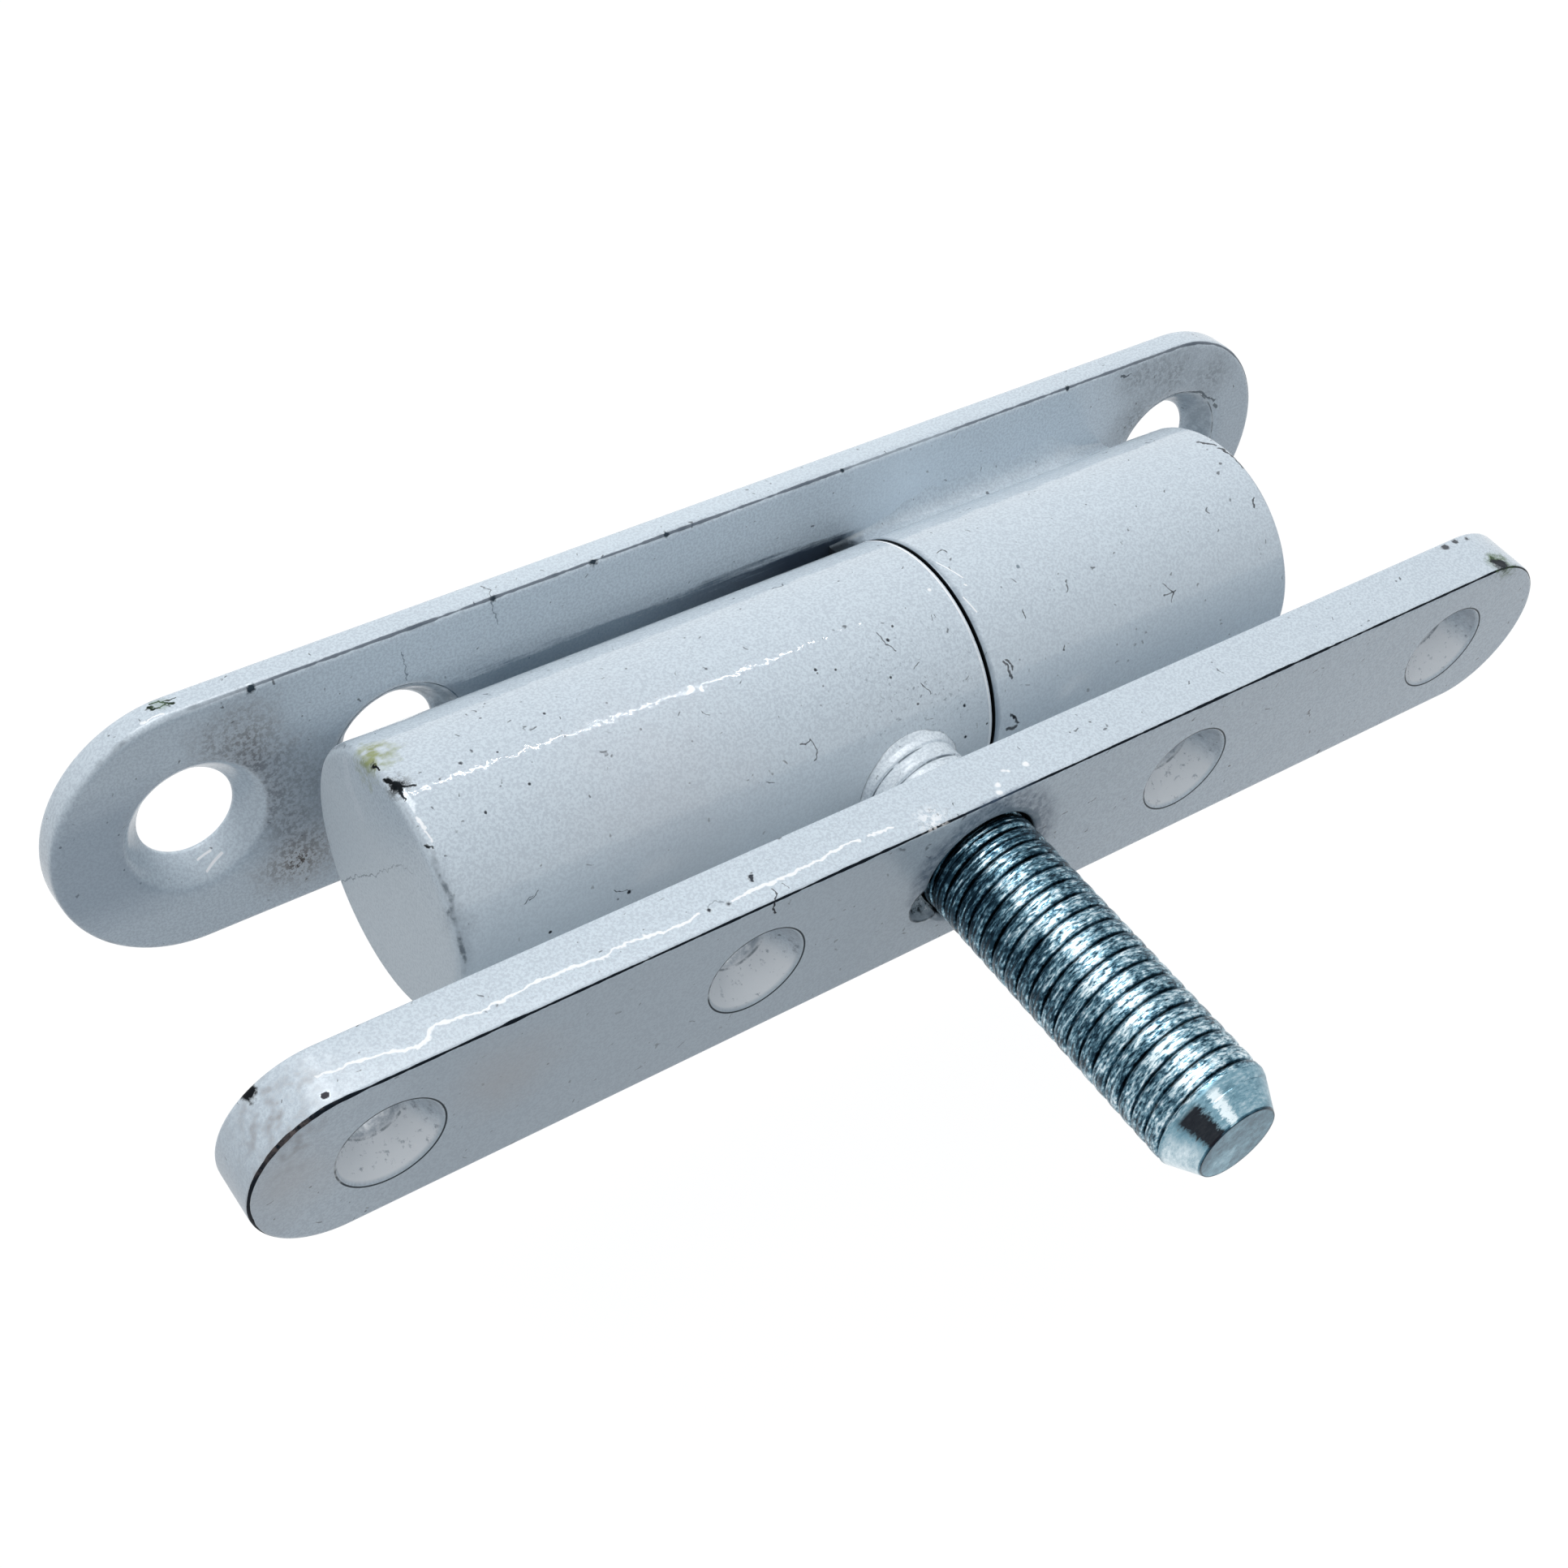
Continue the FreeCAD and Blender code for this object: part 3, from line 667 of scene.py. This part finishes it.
def long_marks(place, grain, bent):
    x, _, z = place.parts()
    # The faced end took the paint duller than the turned side
    faced = x.below(LONG_END + 0.25, 8.0)
    broad = place.noise(0.3, 3.0, 0.6)
    mid = place.noise(0.8, 3.0, 0.6)
    yield faced, ENAMEL
    yield faced * place.noise(4.5, 3.0, 0.65).below(0.56, 5.0) * 0.5, (0.36, 0.42, 0.48)
    rim_left = knuckle_rim(place, LONG_END)
    yield rim_left.below(0.4, 6.0) * broad.above(0.52, 9.0) * 0.6, (0.14, 0.17, 0.20)
    # A painted highlight runs along the joint's edge, and painted shade blackens the gap behind it
    yield abs(x + JOINT + 0.26).below(0.1, 18.0) * broad.above(0.3, 6.0), (1.0, 1.0, 1.0)
    yield (x + JOINT).above(-0.03, 25.0), (0.006, 0.008, 0.010)
    # Painted light makes the lower half paler, with a faint warm band where it is gripped
    yield z.below(8.8, 0.16) * 0.5, (0.84, 0.87, 0.88)
    yield blot(place, broad, (-30.0, -7.6, 7.9), 11.0, 0.5, 0.9) * 0.22, (0.62, 0.60, 0.62)
    # A green and black scar on the left rim, and dark rubbing down the same rim
    yield (blot(place, mid, (-48.7, 3.6, 10.4), 2.5, 0.9, 0.7) * grain.above(0.34, 5.0) * 0.95,
        (0.27, 0.31, 0.12))
    yield (blot(place, grain, (-49.2, 2.4, 10.7), 0.8, 1.4) * grain.above(0.48, 9.0),
        (0.03, 0.04, 0.03))
    yield (blot(place, grain, (-48.75, -0.5, 11.0), 1.35, 1.9) * grain.above(0.42, 9.0),
        (0.006, 0.008, 0.010))
    yield blot(place, grain, (-48.8, -0.5, 11.0), 0.62, 1.0), (0.006, 0.008, 0.010)
    side = unrolled(bent)
    skin = on_skin(place)
    for width, points in ((0.16, ((-49.1, 94.0), (-48.8, 87.0), (-47.6, 84.5))),
            (0.13, ((-48.7, 88.0), (-48.9, 80.0))), (0.10, ((-49.0, 103.0), (-49.0, 99.0))),
            (0.14, ((-49.0, 61.0), (-48.6, 59.0)))):
        yield (skin * hair(side, grain, width, *on_barrel(*points), ragged=1.0),
            (0.008, 0.010, 0.012))
    # Painted glints on the same rim
    for points in (((-48.8, 72.0), (-48.6, 66.0)), ((-48.7, 65.0), (-48.5, 61.5))):
        yield skin * hair(side, grain, 0.12, *on_barrel(*points), ragged=1.0), (1.0, 1.0, 1.0)
    down = z.above(0.5, 0.5) * z.below(9.6, 0.8)
    rub = abs(x + 48.95 + (mid - 0.5) * 0.9).below(0.24, 6.0) * grain.above(0.42, 6.0)
    yield rub * down * 0.8, (0.06, 0.08, 0.10)
    yield (abs(x + 48.7 + (broad - 0.5) * 1.5).below(0.8, 1.5) * down * skin * 0.25,
        (0.25, 0.29, 0.33))
    yield (blot(place, broad, (-49.3, -9.6, 5.0), 2.6, 0.6, 0.9) * mid.above(0.45, 4.0) * 0.4,
        (0.20, 0.22, 0.25))
    end = flat(bent.part("Y"), bent.part("Z"))
    for width, strength, points in ((0.07, 0.6, ((8.1, -8.3), (4.9, -4.2), (1.6, -0.6))),
            (0.05, 0.45, ((1.6, -0.6), (-1.8, 4.1), (-3.9, 5.2)))):
        yield faced * hair(end, grain, width, *points) * strength, (0.16, 0.19, 0.22)
    yield (faced * hair(end, broad, 0.7, (6.1, 7.5), (5.6, 5.2), (3.9, 3.9)) * 0.22,
        (0.95, 0.97, 1.0))
    for width, points in ((0.07, ((-8.05, 70.7), (-7.9, 65.1), (-7.3, 60.8))),
            (0.05, ((-5.9, 52.9), (-6.4, 51.2))),
            (0.06, ((-6.2, 44.9), (-6.0, 42.0), (-5.7, 39.4))),
            (0.06, ((-18.2, 40.5), (-17.3, 41.5), (-16.9, 35.5), (-17.4, 32.5))),
            (0.06, ((-12.0, 116.5), (-10.8, 117.0))), (0.05, ((-42.8, 27.2), (-43.7, 24.2))),
            (0.05, ((-42.3, 27.5), (-43.2, 24.8))), (0.05, ((-36.2, 13.0), (-34.8, 10.0))),
            (0.06, ((-24.8, 67.5), (-24.4, 65.0))), (0.05, ((-2.9, 69.5), (-3.1, 67.0))),
            (0.05, ((-2.6, 69.5), (-2.5, 67.5))), (0.05, ((-22.0, 32.0), (-21.2, 30.5)))):
        yield skin * hair(side, grain, width, *on_barrel(*points)) * 0.9, SOOT
    for along, degrees, size in (
            (-14.5, 66.3, 0.22), (-12.9, 63.1, 0.2), (-7.1, 37.1, 0.25), (-6.45, 71.1, 0.2),
            (-7.45, 66.3, 0.22), (-43.7, 86.0, 0.3), (-40.0, 67.4, 0.2), (-44.0, 63.5, 0.2),
            (-40.8, 84.6, 0.16), (-35.8, 93.6, 0.2), (-38.7, 113.6, 0.2), (-2.8, 28.3, 0.2),
            (-2.9, 13.5, 0.25), (-0.7, 15.5, 0.22), (-34.9, 10.1, 0.3), (-35.9, 8.8, 0.25),
            (-41.8, 7.2, 0.2), (-8.7, 51.6, 0.18)):
        turn = math.radians(degrees)
        spot = (along, -BARREL * math.cos(turn), BARREL * math.sin(turn))
        yield blot(place, grain, spot, size * 0.75, 1.1), SOOT
    # A painted glint near the joint
    yield blot(place, grain, (-1.57, -1.9, 10.83), 0.2, 0.8), (1.0, 1.0, 1.0)
    # Specks lie densest low down beside the stud
    specks = place.noise(2.6, 3.0, 0.7).above(0.6, 14.0)
    yield specks * blot(place, broad, (-7.0, -8.6, 6.5), 10.0, 0.6, 0.9) * 0.55, (0.10, 0.13, 0.16)


long_piece = turned([
    (LONG_END, 0, 0), (LONG_END, 9.6, 0), (LONG_END, 9.7, 0), (LONG_END, BARREL, 0.95),
    (-48.0, BARREL, 0), (-1.0, BARREL, 0), (-JOINT, BARREL, 0.18), (-JOINT, 10.2, 0),
    (-JOINT, BORE, 0), (BORE_END, BORE, 0), (BORE_END, 0, 0)])
finished("painted_long_knuckle", long_piece,
    enamel("long_knuckle_enamel", long_marks, DROOP, gloss=0.05), "door_side", "long_knuckle",
    droop=DROOP)


# ---- Threaded stud ----
# An M10 stud with a rolled thread, plated in blue zinc. Its neck between barrel and strip was
# sprayed with the rest, and its free end is turned to a taper and a flat tip.
STUD_X = -8.4
PITCH = 1.5
CREST = 5.0
ROOT = 4.50
STUD_SEAT = 6.4
STUD_TIP = 50.8
TAPER = 2.8
TIP_RADIUS = 3.45
STRIP_BACK = 15.5
STRIP_FACE = 20.6
NECK_END = STRIP_FACE - 0.8
NECK_RADIUS = 4.62
GROOVE_MIDDLE = 4.85
TURN_STEPS = 72


def threaded_rod():
    rod = bmesh.new()
    # One pitch of the thread's outline, from groove to groove, as (share of pitch, radius)
    outline = [(0.0, ROOT), (0.03, ROOT + 0.02), (0.08, 4.80), (0.12, 4.92), (0.20, 4.97),
        (0.44, CREST), (0.49, 4.95), (0.54, CREST), (0.80, 4.97), (0.88, 4.92), (0.92, 4.80),
        (0.97, ROOT + 0.02), (1.0, ROOT)]
    lead = STUD_SEAT - 2 * PITCH
    verts = [rod.verts.new((radius, -(lead + share * PITCH), 0)) for share, radius in outline]
    edges = [rod.edges.new(pair) for pair in zip(verts, verts[1:])]
    bmesh.ops.spin(rod, geom=verts + edges, cent=(0, 0, 0), axis=(0, -1, 0), angle=math.tau,
        dvec=(0, -PITCH / TURN_STEPS, 0), steps=TURN_STEPS)
    one_turn = rod.verts[:] + rod.edges[:] + rod.faces[:]
    for turn in range(1, math.ceil((STUD_TIP - STUD_SEAT) / PITCH) + 4):
        copied = bmesh.ops.duplicate(rod, geom=one_turn)["geom"]
        moved = [item for item in copied if isinstance(item, bmesh.types.BMVert)]
        bmesh.ops.translate(rod, verts=moved, vec=(0, -PITCH * turn, 0))
    bmesh.ops.remove_doubles(rod, verts=rod.verts, dist=0.002)
    for height, side in ((-STUD_SEAT, 1), (-STUD_TIP, -1)):
        cut = bmesh.ops.bisect_plane(rod, geom=rod.verts[:] + rod.edges[:] + rod.faces[:],
            dist=0.0001, plane_co=(0, height, 0), plane_no=(0, side, 0), clear_outer=True)
        rim = [item for item in cut["geom_cut"] if isinstance(item, bmesh.types.BMEdge)]
        bmesh.ops.holes_fill(rod, edges=rim, sides=0)
    for vert in rod.verts:
        along = -vert.co.y
        out = math.hypot(vert.co.x, vert.co.z)
        if out < 0.1:
            continue
        # The tip's taper cuts the thread away
        wanted = min(out, TIP_RADIUS + (CREST - TIP_RADIUS) * (STUD_TIP - along) / TAPER)
        # Paint has half filled the grooves of the neck and flares out against the barrel
        if along < NECK_END:
            turn = math.atan2(vert.co.x, vert.co.z)
            wanted = NECK_RADIUS + (out - GROOVE_MIDDLE) * 0.45
            wanted += 0.05 * math.sin(3 * turn + 2.3 * along)
            wanted += 0.04 * math.sin(5 * turn - 1.7 * along)
            side = vert.co.z / out * wanted
            gap = along - math.sqrt(BARREL ** 2 - side ** 2)
            wanted += 0.35 * math.exp(-max(gap, 0.0) / 0.35)
        vert.co.x *= wanted / out
        vert.co.z *= wanted / out
    bmesh.ops.recalc_face_normals(rod, faces=rod.faces)
    for face in rod.faces:
        face.material_index = 1 if -face.calc_center_median().y < NECK_END else 0
    bmesh.ops.translate(rod, verts=rod.verts, vec=(STUD_X, 0, 0))
    return rod


def blue_zinc():
    zinc = bpy.data.materials.new("blue_zinc")
    start = cleared(zinc)
    place = on_piece(start, DROOP)
    x, y, z = place.parts()
    across = x - STUD_X
    out = hypot(across, z)
    along = 0.0 - y
    thread = along.below(48.0, 2.0)
    groove = out.below(4.78, 9.0) * thread
    turn = start.maths("ARCTAN2", across, z)
    # Fine rolled lines fill the first pitches, where the thread runs out against the strip
    shaded = turn.below(-0.75, 1.6)
    run_out = ((25.5 - along) * 0.4).at_least(shaded * 0.8).held()
    fine_lines = (start.maths("SINE", along * (math.tau / (PITCH / 4))) * 0.5 + 0.5) * run_out
    # Mottled plating: broad patches, and short dashes drawn out round the stud
    patches = place.stretched((0.45, 1.0, 0.45))
    dashes = place.stretched((1.6, 5.0, 1.6), 4.0, 0.7)
    mottle = (patches - 0.5) * 1.8 + (dashes - 0.5) * 3.0
    # A painted highlight: a bright, glittering band runs down the side that faces the lamp
    painted_highlight_band = abs(turn + 0.42 + (patches - 0.5) * 0.8).below(0.42, 3.0)
    tone = (0.45 + painted_highlight_band * thread * (dashes - 0.32).held() * 1.2 + (along - 33.0) * 0.006
        + mottle * (thread * 0.75 + 0.25) - fine_lines * thread * 0.30)
    # Painted shade darkens the side away from the light towards the strip
    tone = tone - abs(turn + 1.45).below(0.75, 1.5) * along.below(46.0, 0.04) * 0.26
    # Painted light brightens the far left side; the tip's face is darker
    tone = tone + turn.below(-1.85, 3.0) * 0.12
    tone = tone - along.above(50.6, 30.0) * 0.20
    # The turned taper has painted reflections: a dark patch, a highlight beside it, a lit far side
    cone = (1.0 - thread) * out.below(4.95, 6.0) * along.below(50.78, 20.0)
    turn = turn + (dashes - 0.5) * 0.4
    tone = tone + cone * turn.below(-1.15, 4.0) * 0.25
    tone = tone + cone * abs(turn + 0.36).below(0.13, 14.0) * 0.5
    painted_dark_reflection = cone * abs(turn + 0.88).below(0.27, 10.0)
    tone = tone - abs(out - TIP_RADIUS).below(0.14, 8.0) * along.above(50.5, 5.0) * 0.35
    colour = start.node("ValToRGB", {"stops": (
        (0.0, (0.010, 0.028, 0.045)), (0.30, (0.055, 0.125, 0.175)), (0.55, (0.19, 0.34, 0.42)),
        (1.0, (0.76, 0.87, 0.92)))}, {0: tone.held()})
    # The taper's painted dark reflection
    colour = start.mix(painted_dark_reflection * 0.95, colour, (0.014, 0.011, 0.014))
    # Painted shade darkens the thread's grooves, broken up by the dashes
    painted_groove_shade = groove * ((dashes - 0.46 - shaded * 0.05) * 9.0).held() * 0.9
    colour = start.mix(painted_groove_shade, colour, (0.008, 0.014, 0.02))
    bump = start.node("Bump", None, {
        "Strength": 0.8, "Distance": 0.00005,
        "Height": (patches * 0.5 + dashes * 1.1 - fine_lines * 0.5) * thread})
    shader = start.node("BsdfPrincipled", None, {
        "Base Color": colour, "Metallic": 1.0, "Roughness": start.maths("ADD", 0.17, dashes * 0.25),
        "Normal": bump})
    start.node("OutputMaterial", None, {0: shader})
    return zinc


def neck_marks(place, grain, bent):
    x, y, z = place.parts()
    across = x - STUD_X
    out = hypot(across, z)
    broad = place.noise(0.6, 2.0, 0.5)
    # Painted shade darkens the bottoms of the grooves, and a broken dark line runs below each crest
    yield out.below(4.53, 25.0) * grain.above(0.3, 6.0) * 0.85, (0.08, 0.11, 0.14)
    yield (out.below(4.66, 25.0) * out.above(4.6, 25.0) * grain.above(0.52, 8.0) * 0.7,
        (0.12, 0.15, 0.18))
    # Two cracks wander round it, and painted shade darkens the crease where it meets the barrel
    for depth, spread, width, gaps in ((13.9, 2.5, 0.05, 0.34), (12.6, 3.5, 0.04, 0.44)):
        crack = abs(bent.part("Y") + depth + (broad - 0.5) * spread).below(width, 25.0)
        yield crack * grain.above(gaps, 6.0) * 0.8, (0.06, 0.08, 0.10)
    away = hypot(y, z) - BARREL
    yield ((0.10 - away + (grain - 0.5) * 0.3) * 8.0).held() * 0.85, (0.06, 0.08, 0.10)


# Painted light: the neck's enamel is paler than the barrel's
finished("zinc_stud", threaded_rod(),
    [blue_zinc(), enamel("neck_enamel", neck_marks, DROOP, (0.79, 0.85, 0.89))], "door_side",
    "threaded_stud", droop=DROOP, crease=50.0, slot="blue_zinc")


# ---- Door strip ----
# A thick narrow flat bar with round ends, threaded onto the stud's neck and staked with a punch
# beside it. Four countersunk holes take its screws, and the paint is worn off its front rim.
STRIP_ENDS = (STUD_X - 62.55, STUD_X + 62.55)
STRIP_HALF_WIDTH = 7.55
STRIP_THICK = 5.1
STRIP_HOLES = [STUD_X + step for step in (-51.8, -21.35, 21.35, 51.8)]
PIT_X = 4.6
PIT_Z = 1.8


def strip_marks(place, grain, bent):
    x, y, z = place.parts()
    rim = bar_rim(place, STRIP_ENDS, STRIP_HALF_WIDTH, -STRIP_FACE)
    broad = place.noise(0.22, 3.0, 0.6)
    mid = place.noise(0.7, 2.0, 0.5)
    face = abs(y + STRIP_FACE).below(0.5, 4.0)
    crest = z.above(7.0, 3.0)
    front = flat(bent.part("X"), bent.part("Z"))
    upper = flat(bent.part("X"), bent.part("Y"))
    # The face is duller towards the left, with a warm cast where it is handled
    dull = x.below(-4.0, 0.06) * x.above(-66.0, 0.12)
    yield face * dull * 0.45, (0.46, 0.52, 0.57)
    yield blot(place, broad, (-72.0, -17.0, -1.0), 6.5, 0.4, 0.9) * 0.5, (0.50, 0.57, 0.63)
    for spot, reach in (((-68.0, -20.6, 1.0), 6.0), ((-51.0, -20.6, 1.5), 5.5)):
        yield face * blot(place, broad, spot, reach, 0.5, 0.9) * 0.45, (0.66, 0.62, 0.60)
    # Painted light whitens each hole's lower left, painted shade darkens its upper right
    rough_patch = place.noise(1.6, 4.0, 0.7)
    fore = y.below(-STRIP_BACK - 0.6, 3.0)
    for hole in STRIP_HOLES:
        along = x - hole
        wide = hypot(along, z)
        inside = wide.below(4.15, 6.0) * fore
        lit_to_shaded = z * 0.75 + along * 0.45
        yield inside * lit_to_shaded.below(1.8, 0.6) * 0.95, (1.0, 1.0, 1.0)
        yield (inside * ((lit_to_shaded - 1.0) * 0.5 + (rough_patch - 0.5) * 2.4).held() * 0.55,
            (0.34, 0.37, 0.41))
        yield inside * rough_patch.above(0.58, 9.0) * 0.55, (0.14, 0.17, 0.21)
        # Painted shade in the bore, round its edge and along the lower right lip; chips at the top
        yield wide.below(2.42, 9.0) * rough_patch.above(0.3, 4.0) * 0.65, (0.30, 0.35, 0.40)
        yield abs(wide - 2.44).below(0.07, 20.0) * grain.above(0.42, 6.0) * 0.7, (0.10, 0.13, 0.16)
        lip = abs(wide - 4.30).below(0.1, 20.0) * face
        yield (lip * ((along - z * 0.4 + 6.6 + (grain - 0.5) * 7.0) * 0.3).held() * 0.97,
            (0.015, 0.025, 0.035))
        chipped = abs(wide - 4.12).below(0.2, 8.0) * (z - along * 0.8).above(2.2, 0.8)
        yield chipped * grain.above(0.46, 9.0) * 0.9, (0.03, 0.05, 0.07)
    # Painted glints at the edges of the bores
    for width, points in ((0.14, ((-31.9, 0.85), (-30.9, 0.72))),
            (0.12, ((-61.0, -0.6), (-59.9, 0.3))), (0.12, ((-60.4, 0.4), (-59.8, 1.2))),
            (0.12, ((10.6, 0.2), (11.4, 0.6))), (0.12, ((12.0, -3.5), (13.2, -3.3)))):
        yield hair(flat(x, z), grain, width, *points, ragged=0.3), (1.0, 1.0, 1.0)
    # The paint is worn through along the front rim, in a thin black line that swells in places
    top = z.above(1.0, 0.5)
    left = x.below(-62.0, 0.4) * z.above(-4.0, 0.5)
    swell = (broad - 0.57).at_least(0.0) * 0.4 + (mid - 0.5) * 0.07 + (grain - 0.5) * 0.06
    yield ((0.180 + top * 0.020 + left * 0.055 + swell - rim) * 45.0).held(), (0.008, 0.012, 0.018)
    # A painted highlight: a thin bright line runs along the top behind the worn rim
    for path in (
            ((-64.3, -18.0), (-59.7, -18.6), (-57.2, -19.2), (-56.6, -19.0), (-55.7, -18.3),
                (-51.7, -18.8), (-47.2, -18.4), (-42.3, -18.95), (-41.6, -18.6), (-36.2, -19.1),
                (-34.6, -18.85)),
            ((-31.9, -18.9), (-28.9, -18.9), (-25.8, -19.0), (-21.6, -18.65), (-20.3, -18.85)),
            ((-19.3, -18.75), (-17.4, -19.0))):
        yield crest * hair(upper, grain, 0.16, *path, ragged=1.1), (1.0, 1.0, 1.0)
    # Crackled paint above the stud, with painted glints in and beside it
    painted_glints = place.noise(2.0, 4.0, 0.7).above(0.47, 14.0) * crest
    yield painted_glints * blot(place, broad, (-14.3, -19.7, 7.5), 1.7, 0.5, 1.2), (1.0, 1.0, 1.0)
    yield (place.noise(1.7, 4.0, 0.7).above(0.57, 14.0) * crest
        * blot(place, broad, (-13.9, -19.6, 7.5), 1.8, 0.5, 1.2) * 0.8, SOOT)
    for along, deep, size in ((-6.2, -18.4, 0.28), (-4.2, -18.7, 0.32), (-7.5, -19.4, 0.3),
            (-7.9, -20.1, 0.3), (-5.9, -18.6, 0.2)):
        yield blot(place, grain, (along, deep, 7.5), size, 1.2), (1.0, 1.0, 1.0)
    # A curled drip, two dots and some hairs beside the second hole
    yield (crest * hair(upper, grain, 0.09, (-33.8, -18.9), (-33.4, -18.55), (-32.8, -18.45),
        (-32.3, -18.75)) * 0.6, (0.12, 0.16, 0.20))
    for along, deep, size in ((-33.75, -18.9, 0.3), (-32.2, -19.1, 0.3)):
        yield blot(place, grain, (along, deep, 7.5), size, 0.8), SOOT
    yield crest * hair(upper, grain, 0.16, (-29.3, -17.7), (-29.4, -18.1), ragged=0.2), SOOT
    yield (crest * hair(upper, grain, 0.08, (-28.75, -19.4), (-28.6, -20.0), (-28.9, -20.5)) * 0.95,
        SOOT)
    yield hair(front, grain, 0.12, (-29.2, 7.5), (-29.3, 6.9), (-28.9, 6.2)) * face, SOOT
    yield crest * hair(upper, grain, 0.05, (-27.7, -19.4), (-27.5, -19.8)) * 0.8, SOOT
    # Brown scuffs at the left end, with two chips
    scuff = blot(place, broad, (-67.5, -19.2, 6.0), 5.0, 0.8, 0.8)
    yield scuff * grain.above(0.46, 6.0) * 0.6, (0.24, 0.20, 0.19)
    yield blot(place, grain, (-64.6, -19.7, 7.5), 0.34, 1.6), (0.03, 0.03, 0.035)
    yield blot(place, grain, (-68.3, -15.8, 5.75), 0.75, 1.3), (0.01, 0.012, 0.015)
    # The right end's green smudge and dots
    yield (blot(place, grain, (48.3, -19.9, 7.4), 1.9, 1.1, 0.7) * mid.above(0.38, 5.0),
        (0.07, 0.13, 0.04))
    yield blot(place, grain, (48.0, -20.0, 7.4), 0.9, 1.4), SOOT
    for along, deep in ((47.6, -16.2), (46.2, -16.0), (44.9, -16.1)):
        yield blot(place, grain, (along, deep, 7.5), 0.38, 1.1) * 0.9, SOOT
    # A scuffed ring round the stud, left by the staking
    across = x - STUD_X
    out = hypot(across, z)
    near_stud = face * ((7.7 - out + z * 0.10 + (broad - 0.5) * 3.0) * 0.75).held()
    rings = place.noise(1.4, 4.0, 0.7).above(0.4, 5.0) * 0.65 + 0.35
    yield near_stud * rings * (z * 0.6 + across * 0.3).above(-5.0, 0.3) * 0.75, (0.085, 0.13, 0.20)
    # The lips of the stud's hole are scraped to the metal, and painted shade blackens the gap round
    # the stud
    yield (face * ((5.95 - out + (grain - 0.5) * 0.5) * 8.0).held() * grain.above(0.36, 5.0) * 0.8,
        (0.24, 0.30, 0.35))
    yield fore * out.below(5.36, 10.0), (0.004, 0.006, 0.008)
    # The punch mark is scratched dark, with painted glints inside and painted shade round its rim
    pit = hypot(across + PIT_X, z + PIT_Z)
    scratched = place.noise(1.8, 4.0, 0.75)
    yield pit.below(1.95, 5.0) * 0.75, (0.36, 0.43, 0.48)
    yield pit.below(1.95, 5.0) * scratched.above(0.5, 12.0) * 0.9, (0.03, 0.045, 0.06)
    yield pit.below(2.2, 5.0) * scratched.below(0.4, 12.0), (0.95, 0.98, 1.0)
    yield (face * ((0.13 - abs(pit - 2.15) + (grain - 0.5) * 0.4) * 9.0).held() * 0.85,
        (0.03, 0.045, 0.06))


def notched_strip():
    screw_hole = [(4.7, 0, 0), (4.55, 0, 0), (4.2, 0, 0.16), (2.3, 2.9, 0.25),
        (2.3, STRIP_THICK, 0.2), (2.9, STRIP_THICK, 0)]
    stud_hole = [(6.1, 0, 0), (5.9, 0, 0), (5.42, 0, 0.25), (5.14, 0.5, 0.15),
        (5.14, STRIP_THICK, 0.1), (5.4, STRIP_THICK, 0)]
    edge = [(0.62, 0, 0), (0.55, 0, 0), (0, 0, 0.42), (0, STRIP_THICK, 0.42),
        (0.55, STRIP_THICK, 0), (0.62, STRIP_THICK, 0)]
    holes = [(place, screw_hole) for place in STRIP_HOLES] + [(STUD_X, stud_hole)]
    blank = drilled_bar(STRIP_ENDS, STRIP_HALF_WIDTH, -STRIP_FACE, edge, holes)
    # The punch mark overlaps the stud's hole at its lower left
    punch = bmesh.new()
    corners = [(0.0, -1.2, 0), (1.7, -1.1, 0.6), (2.05, 0.0, 0.25), (2.8, 0.35, 0), (2.8, 1.5, 0),
        (0.0, 1.5, 0)]
    outline = [punch.verts.new((point.x, -point.y, 0)) for point in softened(corners, 5)]
    pairs = [punch.edges.new(pair) for pair in zip(outline, outline[1:])]
    bmesh.ops.spin(punch, geom=outline + pairs, cent=(0, 0, 0), axis=(0, 1, 0), angle=math.tau,
        steps=56, use_merge=True)
    bmesh.ops.remove_doubles(punch, verts=punch.verts, dist=0.0005)
    bmesh.ops.translate(punch, verts=punch.verts, vec=(STUD_X - PIT_X, -STRIP_FACE, -PIT_Z))
    bmesh.ops.recalc_face_normals(punch, faces=punch.faces)
    made = []
    for name, lump in (("blank", blank), ("punch", punch)):
        data = bpy.data.meshes.new(name)
        lump.to_mesh(data)
        lump.free()
        made.append(bpy.data.objects.new(name, data))
        scene.collection.objects.link(made[-1])
    cut = made[0].modifiers.new("punch_mark", "BOOLEAN")
    cut.operation = "DIFFERENCE"
    cut.solver = "EXACT"
    cut.object = made[1]
    notched = made[0].evaluated_get(bpy.context.evaluated_depsgraph_get())
    marked = bpy.data.meshes.new_from_object(notched)
    strip = bmesh.new()
    strip.from_mesh(marked)
    for left_over in made:
        bpy.data.objects.remove(left_over)
    return strip


finished("painted_strip", notched_strip(), enamel("strip_enamel", strip_marks, DROOP), "door_side",
    "door_strip", droop=DROOP)
